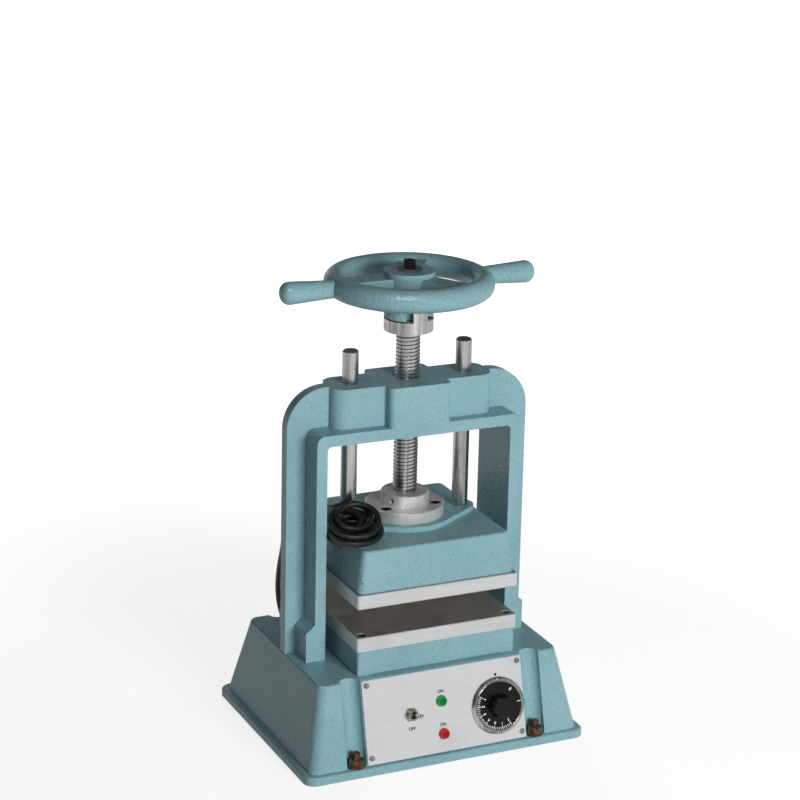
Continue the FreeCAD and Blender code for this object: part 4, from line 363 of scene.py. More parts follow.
def settle(points, held_start, held_end):
    """Lets the turns sink onto the casting and each other, keeping their length and a diameter apart."""
    line = np.array(points, float)
    count = len(line)
    free = np.ones((count, 1))
    free[:held_start] = 0
    free[count - held_end:] = 0
    # the smooth line's points halfway between its control points and beside each of them
    middle = (np.eye(count)[:-1] + np.eye(count)[1:]) / 2
    beside = 0.75 * np.eye(count)[1:-1] + 0.125 * (np.eye(count)[:-2] + np.eye(count)[2:])
    sample = np.vstack([middle, beside])
    weight = sample.sum(0)[:, None]
    order = np.concatenate([np.arange(count - 1) + 0.5, np.arange(1, count - 1)])
    apart = np.abs(order[:, None] - order[None]) > STRANDS_APART
    length = np.linalg.norm(np.diff(line, axis=0), axis=1)
    for step in range(SETTLE_STEPS):
        line[:, 2] -= SINKING * free[:, 0] * max(0, SINK_UNTIL - step / SETTLE_STEPS)
        for _ in range(SETTLE_PASSES):
            line += sample.T @ part_strands(sample @ line, apart) / weight * free
            line += sample.T @ push_off(sample @ line, CORD / 2) / weight * free
            keep_length(line, length, free)
            bend = line[:-4] - 4 * line[1:-3] + 6 * line[2:-2] - 4 * line[3:-1] + line[4:]
            line[2:-2] -= STIFFNESS * bend * free[2:-2]
    return line


def spline_points(name, points):
    """Points in metres of the smooth NURBS line whose control points are given in millimetres."""
    curve = bpy.data.curves.new(name, "CURVE")
    curve.dimensions = "3D"
    spline = curve.splines.new("NURBS")
    spline.points.add(len(points) - 1)
    for point, place in zip(spline.points, points):
        point.co = (*mm(*place), 1)
    spline.order_u = 3
    spline.use_endpoint_u = True
    spline.resolution_u = 5
    holder = bpy.data.objects.new(name, curve)
    mesh = bpy.data.meshes.new_from_object(holder)
    line = [v.co.copy() for v in mesh.vertices]
    bpy.data.objects.remove(holder)
    bpy.data.curves.remove(curve)
    bpy.data.meshes.remove(mesh)
    return line


def mains_cord(line):
    """The black cord from the strain relief to the plug, in place of the frame's riser and coil."""
    work = bmesh.new()
    tube(work, line, lambda share: CORD / 2)
    cord = new_piece("mains_cord", work, None, 60)
    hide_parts("cord_riser", "cord_coil")
    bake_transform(cord)
    return cord


def sleeve_radius(share):
    """Radius of the plug's sleeve, which flares towards the plug and has a rib at every other ring."""
    ribbed = int(share * (len(SLEEVE_RINGS) - 1)) % 2
    return SLEEVE_RADIUS + SLEEVE_FLARE * share + SLEEVE_RIB * ribbed


def plug_sleeve():
    """Ribbed sleeve where the cord enters its plug."""
    work = bmesh.new()
    tube(work, [mm(SLEEVE_AXIS[0], y, SLEEVE_AXIS[1]) for y in SLEEVE_RINGS], sleeve_radius, 20)
    return new_piece("plug_sleeve", work, "platen", 50)


CORD_CONTROLS = settle(CORD_ROUTE + wound_turns() + CORD_END, len(CORD_ROUTE), len(CORD_END))
CORD_LINE = spline_points("cord_line", [tuple(p) for p in CORD_CONTROLS])
cord = mains_cord(CORD_LINE)
sleeve = plug_sleeve()


# ---------------------------------------------------------------- threaded pieces
SCREW_RADIUS = node_box("lead_screw")[1][0]
SCREW_PITCH = 4.44
SCREW_DEPTH = 1.9
SCREW_SIDES = 56
# heights on the lead screw, from its foot up, and the radii of its tip and its necks
SCREW_FOOT = node_box("lead_screw")[0][2]
SCREW_SHOULDER = 256.3
RETAINER_GROOVE = (277.5, 284.5)
SCREW_THREAD = (290, 478)
COLLAR_SEAT = node_box("dog_collar")[0][2]
SCREW_TOP = node_box("lead_screw")[1][2]
# how far outside and inside each end of the thread the bar tapers from the crests down to the roots
LOW_TAPER = (0.3, 1.5)
HIGH_TAPER = (0.5, 1.5)
TIP_RADIUS = 9.0
NECK_RADIUS = 11.0
TIP_CHAMFER = 0.5
SCREW_CHAMFER = 0.6
TOP_CHAMFER = 0.9

STUDS = [(x, y) for x in (-114.5, 114.5) for y in (-134, 134)]
STUD_RADIUS = 4.5
STUD_PITCH = 1.25
STUD_DEPTH = 0.6
STUD_SIDES = 24
STUD_SHANK = 5.0
STUD_THREAD = (20.4, 28.2)
STUD_TAPER = 0.2
STUD_TOP = node_box("hold_down_studs")[1][2]
STUD_TOP_CHAMFER = 0.48
STUD_CHAMFER = 0.4


def lead_screw():
    """Lead screw with its real thread, tip, retainer groove and upper neck."""
    work = bmesh.new()
    thread(work, SCREW_RADIUS, SCREW_PITCH, SCREW_DEPTH, SCREW_THREAD, SCREW_SIDES)
    core = SCREW_RADIUS - SCREW_DEPTH - CORE_GAP
    low, high = SCREW_THREAD
    profile = [
        (0, SCREW_FOOT), (TIP_RADIUS - TIP_CHAMFER, SCREW_FOOT), (TIP_RADIUS, SCREW_FOOT + TIP_CHAMFER),
        (TIP_RADIUS, SCREW_SHOULDER), (SCREW_RADIUS - SCREW_CHAMFER, SCREW_SHOULDER),
        (SCREW_RADIUS, SCREW_SHOULDER + SCREW_CHAMFER),
        (SCREW_RADIUS, RETAINER_GROOVE[0]), (NECK_RADIUS, RETAINER_GROOVE[0]),
        (NECK_RADIUS, RETAINER_GROOVE[1]), (SCREW_RADIUS, RETAINER_GROOVE[1]),
        (SCREW_RADIUS, low - LOW_TAPER[0]), (core, low + LOW_TAPER[1]),
        (core, high - HIGH_TAPER[1]), (SCREW_RADIUS, high + HIGH_TAPER[0]),
        (SCREW_RADIUS, COLLAR_SEAT - SCREW_CHAMFER), (SCREW_RADIUS - SCREW_CHAMFER, COLLAR_SEAT),
        (NECK_RADIUS, COLLAR_SEAT), (NECK_RADIUS, SCREW_TOP - TOP_CHAMFER),
        (NECK_RADIUS - TOP_CHAMFER, SCREW_TOP), (0, SCREW_TOP)]
    lathe(work, profile, SCREW_SIDES)
    screw = new_piece("lead_screw_threaded", work, "screw", 32)
    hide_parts("lead_screw")
    return screw


def hold_down_studs():
    """The four studs that hold the base down, threaded where their nuts sit."""
    work = bmesh.new()
    core = STUD_RADIUS - STUD_DEPTH - CORE_GAP
    low, high = STUD_THREAD
    for x, y in STUDS:
        thread(work, STUD_RADIUS, STUD_PITCH, STUD_DEPTH, STUD_THREAD, STUD_SIDES, (x, y))
        lathe(work, [(0, 0), (STUD_SHANK - STUD_CHAMFER, 0), (STUD_SHANK, STUD_CHAMFER), (STUD_SHANK, low),
                     (core, low + STUD_TAPER), (core, high + STUD_TAPER), (core - STUD_TOP_CHAMFER, STUD_TOP),
                     (0, STUD_TOP)], STUD_SIDES, Matrix.Translation(mm(x, y, 0)))
    studs = new_piece("hold_down_studs_threaded", work, "root", 32)
    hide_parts("hold_down_studs")
    return studs


screw = lead_screw()
studs = hold_down_studs()


# ---------------------------------------------------------------- markings on panel and dial
# the sloping front: its run and rise, and its top edge's Y and Z
PANEL_SLOPE = math.atan2(25, 96)
PANEL_TOP = (-112, 106)
# places on the panel are given across from the middle and down the slope from its top edge, and heights on it
# from the casting's slope under the panel
DIAL = (middle_of("dial_bezel", 0), 55.4)
DISC_FACE = 6.2
PANEL_FACE = 2.02
# the dial's scale: angles of its marks, every fifth one long with a number, each as inner radius and width
MARK_ANGLES = range(150, 305, 5)
LONG_EVERY = 5
LONG_MARK = (24.0, 0.95)
SHORT_MARK = (25.2, 0.7)
LOW_MARK = (23.5, 1.0)
LOW_MARK_ANGLE = 4
MARK_OUTER = 28.2
MARK_THICK = 0.08
MARK_SUNK = 0.02
NUMBER_RADIUS = 20.6
NUMBER_HEIGHT = 3.3
ZERO_RADIUS = 23.5
ZERO_ANGLE = 48
LETTER_HEIGHT = 3.6
# the font's size for a letter one unit high, and how thick and how bold the ink is
FONT_SCALE = 1.4
INK_THICK = 0.04
INK_BOLD = 0.16

# pilot lamps: node, place down the panel and slot of each; they stand one above the other
LAMPS = (("power_lamp_lens", 38.6, "green_lens"), ("heat_lamp_lens", 77.2, "red_lens"))
LAMPS_ACROSS = middle_of("power_lamp_lens", 0)

PANEL_WORDS = (("ON", LAMPS_ACROSS, 27.4), ("ON", LAMPS_ACROSS, 66.4), ("OFF", -43.4, 65.2))
DIAL_DOT_DROP = 18.9
INDEX_DOT_ABOVE = 31.6


def on_panel(across, drop, proud):
    """Frame on the sloping front: X across, Y up the slope, Z out of the panel."""
    sin, cos = math.sin(PANEL_SLOPE), math.cos(PANEL_SLOPE)
    origin = mm(across, PANEL_TOP[0] - drop * sin - proud * cos, PANEL_TOP[1] - drop * cos + proud * sin)
    axes = Matrix(((1, 0, 0), (0, sin, -cos), (0, cos, sin))).to_4x4()
    return Matrix.Translation(origin) @ axes


def turned(angle):
    """Turn about Z by degrees."""
    return Matrix.Rotation(math.radians(angle), 4, "Z")


def lettering(work, text, height, at):
    """Raised plain letters, as thick as a coat of ink, centred on a frame."""
    data = bpy.data.curves.new("letters", "FONT")
    data.body = text
    data.size = height * FONT_SCALE * MM
    data.extrude = INK_THICK * MM
    data.offset = INK_BOLD * MM
    data.align_x = "CENTER"
    data.align_y = "CENTER"
    holder = bpy.data.objects.new("letters", data)
    mesh = bpy.data.meshes.new_from_object(holder)
    mesh.transform(at)
    work.from_mesh(mesh)
    bpy.data.objects.remove(holder)
    bpy.data.curves.remove(data)
    bpy.data.meshes.remove(mesh)


def mark(work, at, inner, width):
    """Thin radial mark along a frame's X, out to the scale's rim."""
    corners = [(x, y, z) for z in (0, MARK_THICK) for x, y in
               ((inner, -width / 2), (MARK_OUTER, -width / 2), (MARK_OUTER, width / 2), (inner, width / 2))]
    v = [work.verts.new(at @ mm(*c)) for c in corners]
    for face in ((3, 2, 1, 0), (4, 5, 6, 7), (0, 1, 5, 4), (1, 2, 6, 5), (2, 3, 7, 6), (3, 0, 4, 7)):
        work.faces.new([v[k] for k in face])


def dial_marks():
    """White scale and numbers on the dial's black face."""
    work = bmesh.new()
    face = on_panel(*DIAL, DISC_FACE)
    sunk = on_panel(*DIAL, DISC_FACE - MARK_SUNK)
    for number, angle in enumerate(MARK_ANGLES):
        long = number % LONG_EVERY == 0
        mark(work, sunk @ turned(angle), *(LONG_MARK if long else SHORT_MARK))
        if long:
            spot = face @ turned(angle) @ Matrix.Translation(mm(NUMBER_RADIUS, 0, 0)) @ turned(-90)
            lettering(work, str(number // LONG_EVERY + 1), NUMBER_HEIGHT, spot)
    spot = face @ turned(ZERO_ANGLE) @ Matrix.Translation(mm(ZERO_RADIUS, 0, 0)) @ turned(-90)
    lettering(work, "0", LETTER_HEIGHT, spot)
    mark(work, sunk @ turned(LOW_MARK_ANGLE), *LOW_MARK)
    return new_piece("dial_marks", work, "dial", 30)


def panel_print():
    """Black words by the switch and the lamps, and the dot above the dial."""
    work = bmesh.new()
    for text, across, drop in PANEL_WORDS:
        lettering(work, text, LETTER_HEIGHT, on_panel(across, drop, PANEL_FACE))
    lathe(work, [(0, 1.95), (1.6, 1.95), (1.6, 2.1), (0, 2.1)], 24, on_panel(DIAL[0], DIAL_DOT_DROP, 0))
    return new_piece("panel_print", work, "root", 30)


def dial_trim_ring():
    """Narrow bright ring round the dial's black face."""
    work = bmesh.new()
    lathe(work, [(29.2, 6.4), (29.9, 6.4), (29.9, 6.9), (29.55, 7.1), (29.2, 6.9)], 96, on_panel(*DIAL, 0))
    return new_piece("dial_trim_ring", work, "root")


def dial_index_dot():
    """Raised dot on the bezel that the dial is read against."""
    work = bmesh.new()
    lathe(work, [(0, 6.4), (1.2, 6.4), (1.2, 6.8), (0.7, 7.3), (0, 7.45)], 20,
          on_panel(DIAL[0], DIAL[1] - INDEX_DOT_ABOVE, 0))
    return new_piece("dial_index_dot", work, "root")


def lamp_jewel(node, drop):
    """Lens of a pilot lamp, with its darker flat face as a second material."""
    work = bmesh.new()
    seat = on_panel(LAMPS_ACROSS, drop, 0)
    lathe(work, [(0, 0.5), (4.6, 0.5), (4.6, 2.1), (6.5, 2.1), (6.8, 2.5), (6.7, 3.4), (5.6, 6.6), (4.9, 7.7),
                 (4.3, 8.0), (0, 8.0)], 40, seat)
    rim_faces = len(work.faces)
    lathe(work, [(0, 7.8), (4.2, 7.8), (4.2, 8.05), (3.6, 8.2), (0, 8.3)], 40, seat)
    work.faces.ensure_lookup_table()
    for face in work.faces[rim_faces:]:
        face.material_index = 1
    lens = new_piece(node.replace("lens", "jewel"), work, "root", 35)
    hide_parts(node)
    return lens


def wheel_hub_boss():
    """Flared boss under the handwheel's hub."""
    work = bmesh.new()
    lathe(work, [(18.4, 527.5), (25.2, 527.5), (26.2, 528.4), (26.8, 530.0), (29.0, 548.0), (29.2, 549.2),
                 (18.4, 549.2)], 72)
    return new_piece("wheel_hub_boss", work, "wheel")


marks = dial_marks()
words = panel_print()
trim = dial_trim_ring()
dot = dial_index_dot()
lenses = [(lamp_jewel(node, drop), slot) for node, drop, slot in LAMPS]
boss = wheel_hub_boss()


# ---------------------------------------------------------------- materials
WHITE = (1, 1, 1, 1)


def colour(red, green, blue):
    """Linear colour from display values 0 to 255."""
    parts = [c / 255 for c in (red, green, blue)]
    return tuple(c / 12.92 if c <= 0.04045 else ((c + 0.055) / 1.055) ** 2.4 for c in parts) + (1.0,)


def maths(tree, operation, first, second):
    """Math node on two values, each a socket or a number."""
    made = tree.nodes.new("ShaderNodeMath")
    made.operation = operation
    for socket, value in zip(made.inputs, (first, second)):
        if isinstance(value, bpy.types.NodeSocket):
            tree.links.new(value, socket)
        else:
            socket.default_value = value
    return made.outputs[0]


def set_stops(ramp, stops):
    """Gives a colour ramp its (place, colour or grey) stops."""
    while len(ramp.elements) < len(stops):
        ramp.elements.new(0.5)
    for element, (place, value) in zip(ramp.elements, stops):
        element.position = place
        element.color = value if isinstance(value, tuple) else (value, value, value, 1)


class Finish:
    """One procedural material: a Principled shader with small helpers for its textures, in metres."""

    def __init__(self, name, **sockets):
        self.material = bpy.data.materials.new(name)
        self.material.use_nodes = True
        self.tree = self.material.node_tree
        self.shader = self.tree.nodes["Principled BSDF"]
        for key, value in sockets.items():
            self.shader.inputs[key.replace("_", " ")].default_value = value
        self.place = self.node("ShaderNodeTexCoord").outputs["Object"]

    def node(self, kind, links=None, values=None, **settings):
        """Node with its settings, linked inputs and fixed inputs."""
        made = self.tree.nodes.new(kind)
        for key, value in settings.items():
            setattr(made, key, value)
        for key, value in (values or {}).items():
            made.inputs[key].default_value = value
        for key, source in (links or {}).items():
            self.tree.links.new(source, made.inputs[key])
        return made

    def stretched(self, x, y, z):
        """Object coordinates scaled per axis, for streaks."""
        return self.node("ShaderNodeMapping", {"Vector": self.place}, {"Scale": (x, y, z)}).outputs["Vector"]

    def noise(self, scale, detail=3, roughness=0.5, place=None):
        """Cloudy texture."""
        return self.node("ShaderNodeTexNoise", {"Vector": place or self.place},
                         {"Scale": scale, "Detail": detail, "Roughness": roughness}).outputs["Fac"]

    def pebbles(self, scale, smooth):
        """Cell texture as on hammered enamel."""
        return self.node("ShaderNodeTexVoronoi", {"Vector": self.place},
                         {"Scale": scale, "Smoothness": smooth}, feature="SMOOTH_F1").outputs["Distance"]

    def ramp(self, source, *stops):
        """Colours or greys along a value."""
        made = self.node("ShaderNodeValToRGB", {"Fac": source})
        set_stops(made.color_ramp, stops)
        return made.outputs["Color"]

    def mixed(self, factor, first, second, blend="MIX"):
        """Mix of two colours, each a socket or a constant."""
        made = self.node("ShaderNodeMix", data_type="RGBA", blend_type=blend)
        for key, value in ((0, factor), (6, first), (7, second)):
            if isinstance(value, bpy.types.NodeSocket):
                self.tree.links.new(value, made.inputs[key])
            else:
                made.inputs[key].default_value = value
        return made.outputs[2]

    def bump(self, source, distance, strength, under):
        """Fine relief on top of another normal."""
        return self.node("ShaderNodeBump", {"Height": source, "Normal": under},
                         {"Distance": distance, "Strength": strength}).outputs["Normal"]

    def rounded(self, radius):
        """Softly rounded edges, as castings and machined parts have."""
        return self.node("ShaderNodeBevel", None, {"Radius": radius}, samples=4).outputs["Normal"]

    def use(self, **sockets):
        """Links the shader's inputs and gives the material."""
        for key, source in sockets.items():
            self.tree.links.new(source, self.shader.inputs[key.replace("_", " ")])
        return self.material


def hammered_enamel():
    """Teal hammered enamel over cast iron: soft dimples, slight clouding, thin dirt and few small chips."""
    f = Finish("teal_paint", Metallic=0.06, Specular_IOR_Level=0.42)
    cells = f.pebbles(240, 0.8)
    fine = f.noise(560)
    wide = f.noise(8, 4)
    base = f.ramp(wide, (0.3, colour(123, 162, 170)), (0.7, colour(138, 176, 183)))
    dimples = f.ramp(cells, (0.05, colour(216, 228, 230)), (0.4, WHITE))
    base = f.mixed(0.5, base, dimples, "MULTIPLY")
    grain = f.ramp(fine, (0.35, colour(226, 230, 230)), (0.6, WHITE))
    base = f.mixed(0.35, base, grain, "MULTIPLY")
    grime = f.ramp(f.noise(24, 6, 0.65), (0.60, 0.0), (0.80, 0.35))
    base = f.mixed(grime, base, colour(84, 116, 120))
    chips = f.ramp(f.noise(170, 3, 0.6), (0.79, 0.0), (0.805, 1.0))
    base = f.mixed(chips, base, colour(48, 60, 62))
    rough = f.ramp(fine, (0.3, 0.24), (0.7, 0.36))
    normal = f.bump(fine, 0.0005, 0.6, f.bump(cells, 0.001, 0.5, f.rounded(0.0006)))
    return f.use(Base_Color=base, Roughness=rough, Normal=normal)


def ground_aluminium():
    """Ground plate with faint streaks and stains; faces turned up or down are darker brown-grey in blotches,
    partly heat and rubber stains, partly painted shade.
    """
    f = Finish("aluminium_plate", Metallic=0.4)
    streak = f.noise(1.0, 3, 0.6, f.stretched(14, 420, 420))
    stain_and_shade_blotches = f.noise(17, 5, 0.6)
    base = f.ramp(streak, (0.3, colour(197, 199, 200)), (0.7, colour(212, 214, 214)))
    base = f.mixed(f.ramp(stain_and_shade_blotches, (0.55, 0.0), (0.8, 0.35)), base, colour(160, 156, 150))
    # faces turned up or down: darker brown-grey blotches, partly stains, partly painted shade
    facing = f.node("ShaderNodeSeparateXYZ", {"Vector": f.node("ShaderNodeNewGeometry").outputs["Normal"]})
    level = f.node("ShaderNodeMath", {0: facing.outputs["Z"]}, operation="ABSOLUTE").outputs[0]
    flat_face_shade_and_stains = f.ramp(stain_and_shade_blotches, (0.3, colour(118, 111, 102)), (0.5, colour(142, 136, 128)),
                  (0.72, colour(96, 88, 80)))
    base = f.mixed(f.ramp(level, (0.9, 0.0), (0.97, 0.92)), base, flat_face_shade_and_stains)
    rough = f.ramp(stain_and_shade_blotches, (0.35, 0.3), (0.7, 0.46))
    normal = f.bump(streak, 0.00005, 0.6, f.rounded(0.0004))
    return f.use(Base_Color=base, Roughness=rough, Normal=normal)


def brushed_panel():
    """Aluminium panel brushed along its width, with faint smudges."""
    f = Finish("panel_aluminium", Metallic=0.2)
    streak = f.noise(1.0, 4, 0.7, f.stretched(10, 900, 900))
    smudge = f.noise(24, 4)
    base = f.ramp(streak, (0.3, colour(200, 201, 203)), (0.7, colour(209, 210, 212)))
    base = f.mixed(f.ramp(smudge, (0.55, 0.0), (0.8, 0.25)), base, colour(176, 174, 174))
    rough = f.ramp(smudge, (0.3, 0.33), (0.7, 0.46))
    normal = f.bump(streak, 0.00002, 0.5, f.rounded(0.0003))
    return f.use(Base_Color=base, Roughness=rough, Normal=normal)


def turned_steel(name, tone, rough, turning, dirt, metallic=1.0, streaks=(0.6, 1.2)):
    """Machined steel: tool marks round the axis, streaks along it that are partly painted reflection, and
    some oily dirt.
    """
    f = Finish(name, Metallic=metallic)
    # darker and brighter bands along the axis: grinding streaks, partly painted reflection of a polished bar
    streak = f.noise(1.0, 3, 0.6, f.stretched(230, 230, 7))
    spots = f.noise(60, 5, 0.6)
    low, high = (tuple(c * k for c in tone) + (1.0,) for k in streaks)
    base = f.ramp(streak, (0.3, low), (0.7, high))
    base = f.mixed(f.ramp(spots, (0.56, 0.0), (0.75, dirt)), base, colour(90, 82, 72))
    roughness = f.ramp(spots, (0.3, rough), (0.7, rough + 0.08))
    rings = f.noise(1.0, 2, 0.5, f.stretched(2, 2, turning))
    normal = f.bump(rings, 0.000008, 0.5, f.rounded(0.0003))
    return f.use(Base_Color=base, Roughness=roughness, Normal=normal)


def rusted_steel():
    """Brown rust with a darker crust and bright spots rubbed clean."""
    f = Finish("rusty_steel", Metallic=0.25)
    patch = f.noise(160, 6, 0.7)
    base = f.ramp(patch, (0.32, colour(44, 34, 28)), (0.5, colour(88, 62, 42)), (0.7, colour(140, 120, 100)))
    rough = f.ramp(patch, (0.3, 0.8), (0.7, 0.5))
    normal = f.bump(patch, 0.0004, 0.7, f.rounded(0.0004))
    return f.use(Base_Color=base, Roughness=rough, Normal=normal)


def speckled(name, dark, light, rough, grain, depth, **sockets):
    """Plain solid finish with a fine grain in colour, gloss and surface."""
    f = Finish(name, **sockets)
    value = f.noise(grain, 4, 0.6)
    base = f.ramp(value, (0.35, dark), (0.65, light))
    roughness = f.ramp(value, (0.3, rough), (0.7, rough + 0.12))
    normal = f.bump(value, depth, 0.6, f.rounded(0.0003))
    return f.use(Base_Color=base, Roughness=roughness, Normal=normal)


FINISHES = {
    "teal_paint": hammered_enamel(),
    "aluminium_plate": ground_aluminium(),
    "panel_aluminium": brushed_panel(),
    "bright_steel": turned_steel("bright_steel", (0.58, 0.57, 0.56), 0.2, 900, 0.25),
    "bright_chrome": turned_steel("bright_chrome", (0.7, 0.69, 0.66), 0.2, 500, 0.1),
    "rusty_steel": rusted_steel(),
    "gland_nickel": turned_steel("gland_nickel", (0.5, 0.47, 0.42), 0.24, 600, 0.15),
    "black_steel": speckled("black_steel", colour(20, 20, 22), colour(44, 43, 42), 0.34, 500, 0.00006,
                            Metallic=0.6),
    "cover_sheet": speckled("cover_sheet", colour(128, 130, 130), colour(158, 160, 160), 0.38, 60, 0.00004,
                            Metallic=0.85),
    "black_plastic": speckled("black_plastic", colour(11, 11, 12), colour(18, 18, 19), 0.2, 700, 0.00004,
                              Specular_IOR_Level=0.4),
    "green_lens": speckled("green_lens", colour(14, 142, 58), colour(34, 172, 84), 0.3, 220, 0.00008,
                           Subsurface_Weight=0.15, Subsurface_Scale=0.004),
    "red_lens": speckled("red_lens", colour(178, 34, 48), colour(204, 62, 72), 0.3, 220, 0.00008,
                         Subsurface_Weight=0.15, Subsurface_Scale=0.004),
    "copper": speckled("copper", colour(150, 92, 62), colour(196, 124, 88), 0.28, 90, 0.00004, Metallic=1.0),
    "bronze": speckled("bronze", colour(140, 104, 58), colour(176, 138, 84), 0.3, 90, 0.00004, Metallic=1.0),
    "heater_sheath": speckled("heater_sheath", colour(104, 98, 94), colour(140, 132, 124), 0.4, 130, 0.0001,
                              Metallic=0.8),
    "insulation_board": speckled("insulation_board", colour(150, 142, 126), colour(186, 178, 160), 0.8, 240,
                                 0.0002),
    "cord_rubber": speckled("cord_rubber", colour(17, 17, 18), colour(30, 30, 31), 0.34, 420, 0.0001,
                            Coat_Weight=0.15, Coat_Roughness=0.35),
}
PRINT_INK = speckled("print_ink", colour(10, 10, 11), colour(20, 20, 21), 0.7, 300, 0.00002,
                     Specular_IOR_Level=0.1)
DIAL_INK = speckled("dial_ink", colour(228, 228, 226), colour(242, 242, 240), 0.45, 300, 0.00002)
LENS_FACES = {
    "green_lens": speckled("green_lens_face", colour(2, 92, 36), colour(8, 118, 48), 0.35, 220, 0.00005,
                           Specular_IOR_Level=0.3),
    "red_lens": speckled("red_lens_face", colour(126, 8, 20), colour(152, 16, 30), 0.35, 220, 0.00005,
                         Specular_IOR_Level=0.3),
}
# where a node's look departs from the rest of its slot
NODE_FINISHES = {
    "screw_retainer_flange": turned_steel("retainer_finish", (0.8, 0.8, 0.79), 0.3, 300, 0.08, 0.65,
                                          (0.9, 1.04)),
    "wheel_washer": turned_steel("washer_finish", (0.42, 0.4, 0.37), 0.34, 500, 0.3),
    # the plate screws' black steel is painted shade of the deep holes they sit in
    "lower_plate_screws": FINISHES["black_steel"],
    "switch_body": FINISHES["gland_nickel"],
}
# the CAD nodes' edges stay crisp above this angle
CREASE = 32

for row in frame["record"]["subparts"]:
    holder = NODES[row["node"]]
    holder.data.materials.clear()
    holder.data.materials.append(NODE_FINISHES.get(row["node"], FINISHES[row["material_slot"]]))
    shade(holder.data, CREASE)
for piece, slot in ((cord, "cord_rubber"), (sleeve, "cord_rubber"), (screw, "bright_steel"),
                    (studs, "rusty_steel"), (trim, "bright_chrome"), (dot, "bright_chrome"),
                    (boss, "teal_paint")):
    piece.data.materials.append(FINISHES[slot])
marks.data.materials.append(DIAL_INK)
words.data.materials.append(PRINT_INK)
for lens, slot in lenses:
    lens.data.materials.append(FINISHES[slot])
    lens.data.materials.append(LENS_FACES[slot])


# ---------------------------------------------------------------- floor and light, in metres
FLOOR_HALF = 6.0
# the floor's own light: to the camera near the object, where the lamps add the rest, and in reflections;
# between two distances from the object it rises to full white for the camera
FLOOR_NEAR = 0.78
FLOOR_MIRRORED = 0.5
FLOOR_FADE = (0.5, 1.6)

AMBIENT = 0.08
# how bright the studio behind is to shiny surfaces: by height, and from left to right
BY_HEIGHT = ((0.0, 0.3), (0.4, 1.0), (0.54, 0.9), (0.62, 0.25), (1.0, 0.12))
BY_SIDE = ((0.0, 0.15), (0.12, 0.5), (0.22, 1.0), (0.31, 0.1), (0.43, 0.12), (0.52, 1.0), (0.62, 0.95),
           (0.71, 0.12), (0.86, 0.6), (1.0, 0.15))

# each lamp's name, place, what it points at, width and height, watts, and whether it shows in reflections
LIGHTS = (
    ("key", (0.35, -3.0, 1.0), (0, 0, 0.25), (1.2, 1.0), 98, False),
    ("sheen", (-0.9, -1.8, 2.3), (0, 0, 0.35), (0.8, 0.8), 26, True),
    ("left_fill", (-2.6, -0.6, 0.9), (0, 0, 0.25), (1.2, 1.2), 2, False),
    ("right_fill", (2.7, 0.2, 0.9), (0, 0, 0.25), (1.2, 1.2), 14, False),
    ("back", (0.4, 2.8, 0.9), (0, 0, 0.3), (1.6, 1.0), 42, False),
)


def floor_paint():
    """White to the camera, save for the object's shadow: away from the object it glows fully white."""
    f = Finish("floor", Base_Color=colour(150, 150, 150), Roughness=0.9, Specular_IOR_Level=0.0,
               Emission_Color=WHITE)
    rays = f.node("ShaderNodeLightPath").outputs
    away = f.node("ShaderNodeVectorMath", {0: f.place}, operation="LENGTH").outputs["Value"]
    glow = f.node("ShaderNodeMapRange", {"Value": away},
                  {"From Min": FLOOR_FADE[0], "From Max": FLOOR_FADE[1], "To Min": FLOOR_NEAR, "To Max": 1.0})
    seen = maths(f.tree, "MAXIMUM", rays["Is Camera Ray"], rays["Is Transmission Ray"])
    seen = maths(f.tree, "MULTIPLY", seen, glow.outputs["Result"])
    mirrored = maths(f.tree, "MULTIPLY", rays["Is Glossy Ray"], FLOOR_MIRRORED)
    return f.use(Emission_Strength=maths(f.tree, "MAXIMUM", seen, mirrored))


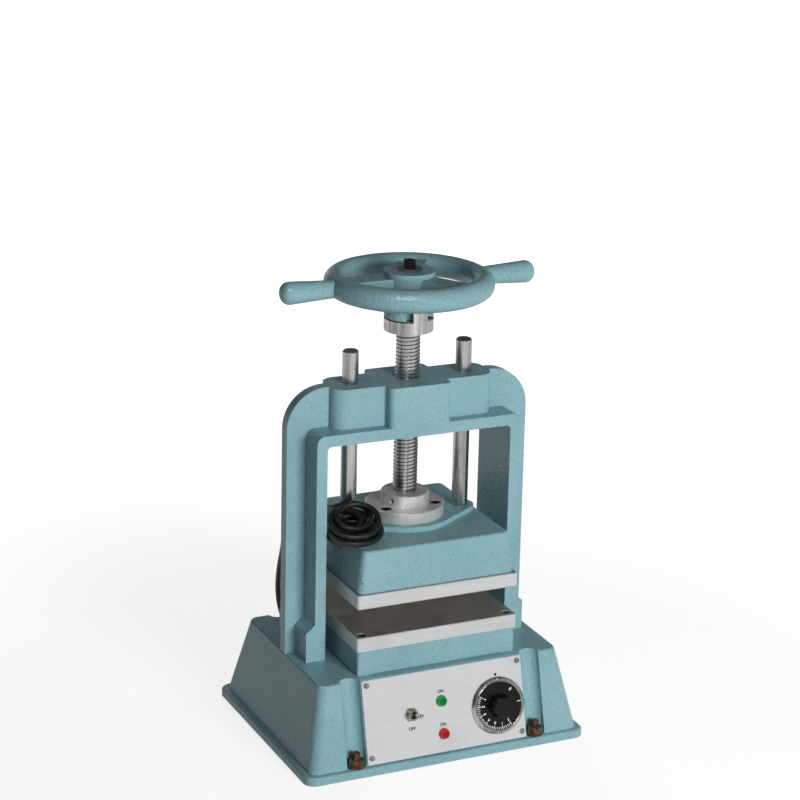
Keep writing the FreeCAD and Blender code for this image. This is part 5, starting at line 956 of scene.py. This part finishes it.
def add_floor():
    """Wide flat floor under the object."""
    work = bmesh.new()
    corners = ((-1, -1), (1, -1), (1, 1), (-1, 1))
    work.faces.new([work.verts.new((x * FLOOR_HALF, y * FLOOR_HALF, 0)) for x, y in corners])
    mesh = bpy.data.meshes.new("floor")
    work.to_mesh(mesh)
    work.free()
    mesh.materials.append(floor_paint())
    floor = add_object("floor", mesh)


def add_world():
    """Even studio light, with plain white behind; shiny surfaces also see the gaps between soft boxes."""
    world = bpy.data.worlds.new("studio")
    bpy.context.scene.world = world
    world.use_nodes = True
    tree = world.node_tree
    back = tree.nodes["Background"]
    back.inputs["Color"].default_value = WHITE
    rays = tree.nodes.new("ShaderNodeLightPath").outputs
    where = tree.nodes.new("ShaderNodeTexCoord")
    axes = tree.nodes.new("ShaderNodeSeparateXYZ")
    tree.links.new(where.outputs["Generated"], axes.inputs[0])

    def along(axis, stops):
        ramp = tree.nodes.new("ShaderNodeValToRGB")
        ramp.color_ramp.interpolation = "EASE"
        set_stops(ramp.color_ramp, stops)
        share = maths(tree, "ADD", maths(tree, "MULTIPLY", axes.outputs[axis], 0.5), 0.5)
        tree.links.new(share, ramp.inputs["Fac"])
        return ramp.outputs["Color"]

    boxes = maths(tree, "MULTIPLY", along("Z", BY_HEIGHT), along("X", BY_SIDE))
    shiny = maths(tree, "MULTIPLY", rays["Is Glossy Ray"], boxes)
    seen = maths(tree, "MAXIMUM", rays["Is Camera Ray"], rays["Is Transmission Ray"])
    other = maths(tree, "MULTIPLY", maths(tree, "SUBTRACT", 1.0, rays["Is Glossy Ray"]), AMBIENT)
    strength = maths(tree, "MAXIMUM", maths(tree, "MAXIMUM", seen, shiny), other)
    tree.links.new(strength, back.inputs["Strength"])


def add_lamp(name, place, target, size, power, mirrored):
    """Soft rectangular lamp: it either lights the object unseen in reflections or adds its sheen alone."""
    data = bpy.data.lights.new(name, "AREA")
    data.shape = "RECTANGLE"
    data.size, data.size_y = size
    data.energy = power
    lamp = add_object(name, data)
    lamp.location = place
    lamp.rotation_euler = (Vector(target) - Vector(place)).to_track_quat("-Z", "Y").to_euler()
    lamp.visible_glossy = mirrored
    lamp.visible_diffuse = not mirrored


add_floor()
add_world()
for light in LIGHTS:
    add_lamp(*light)
bpy.context.scene.view_settings.view_transform = "Standard"
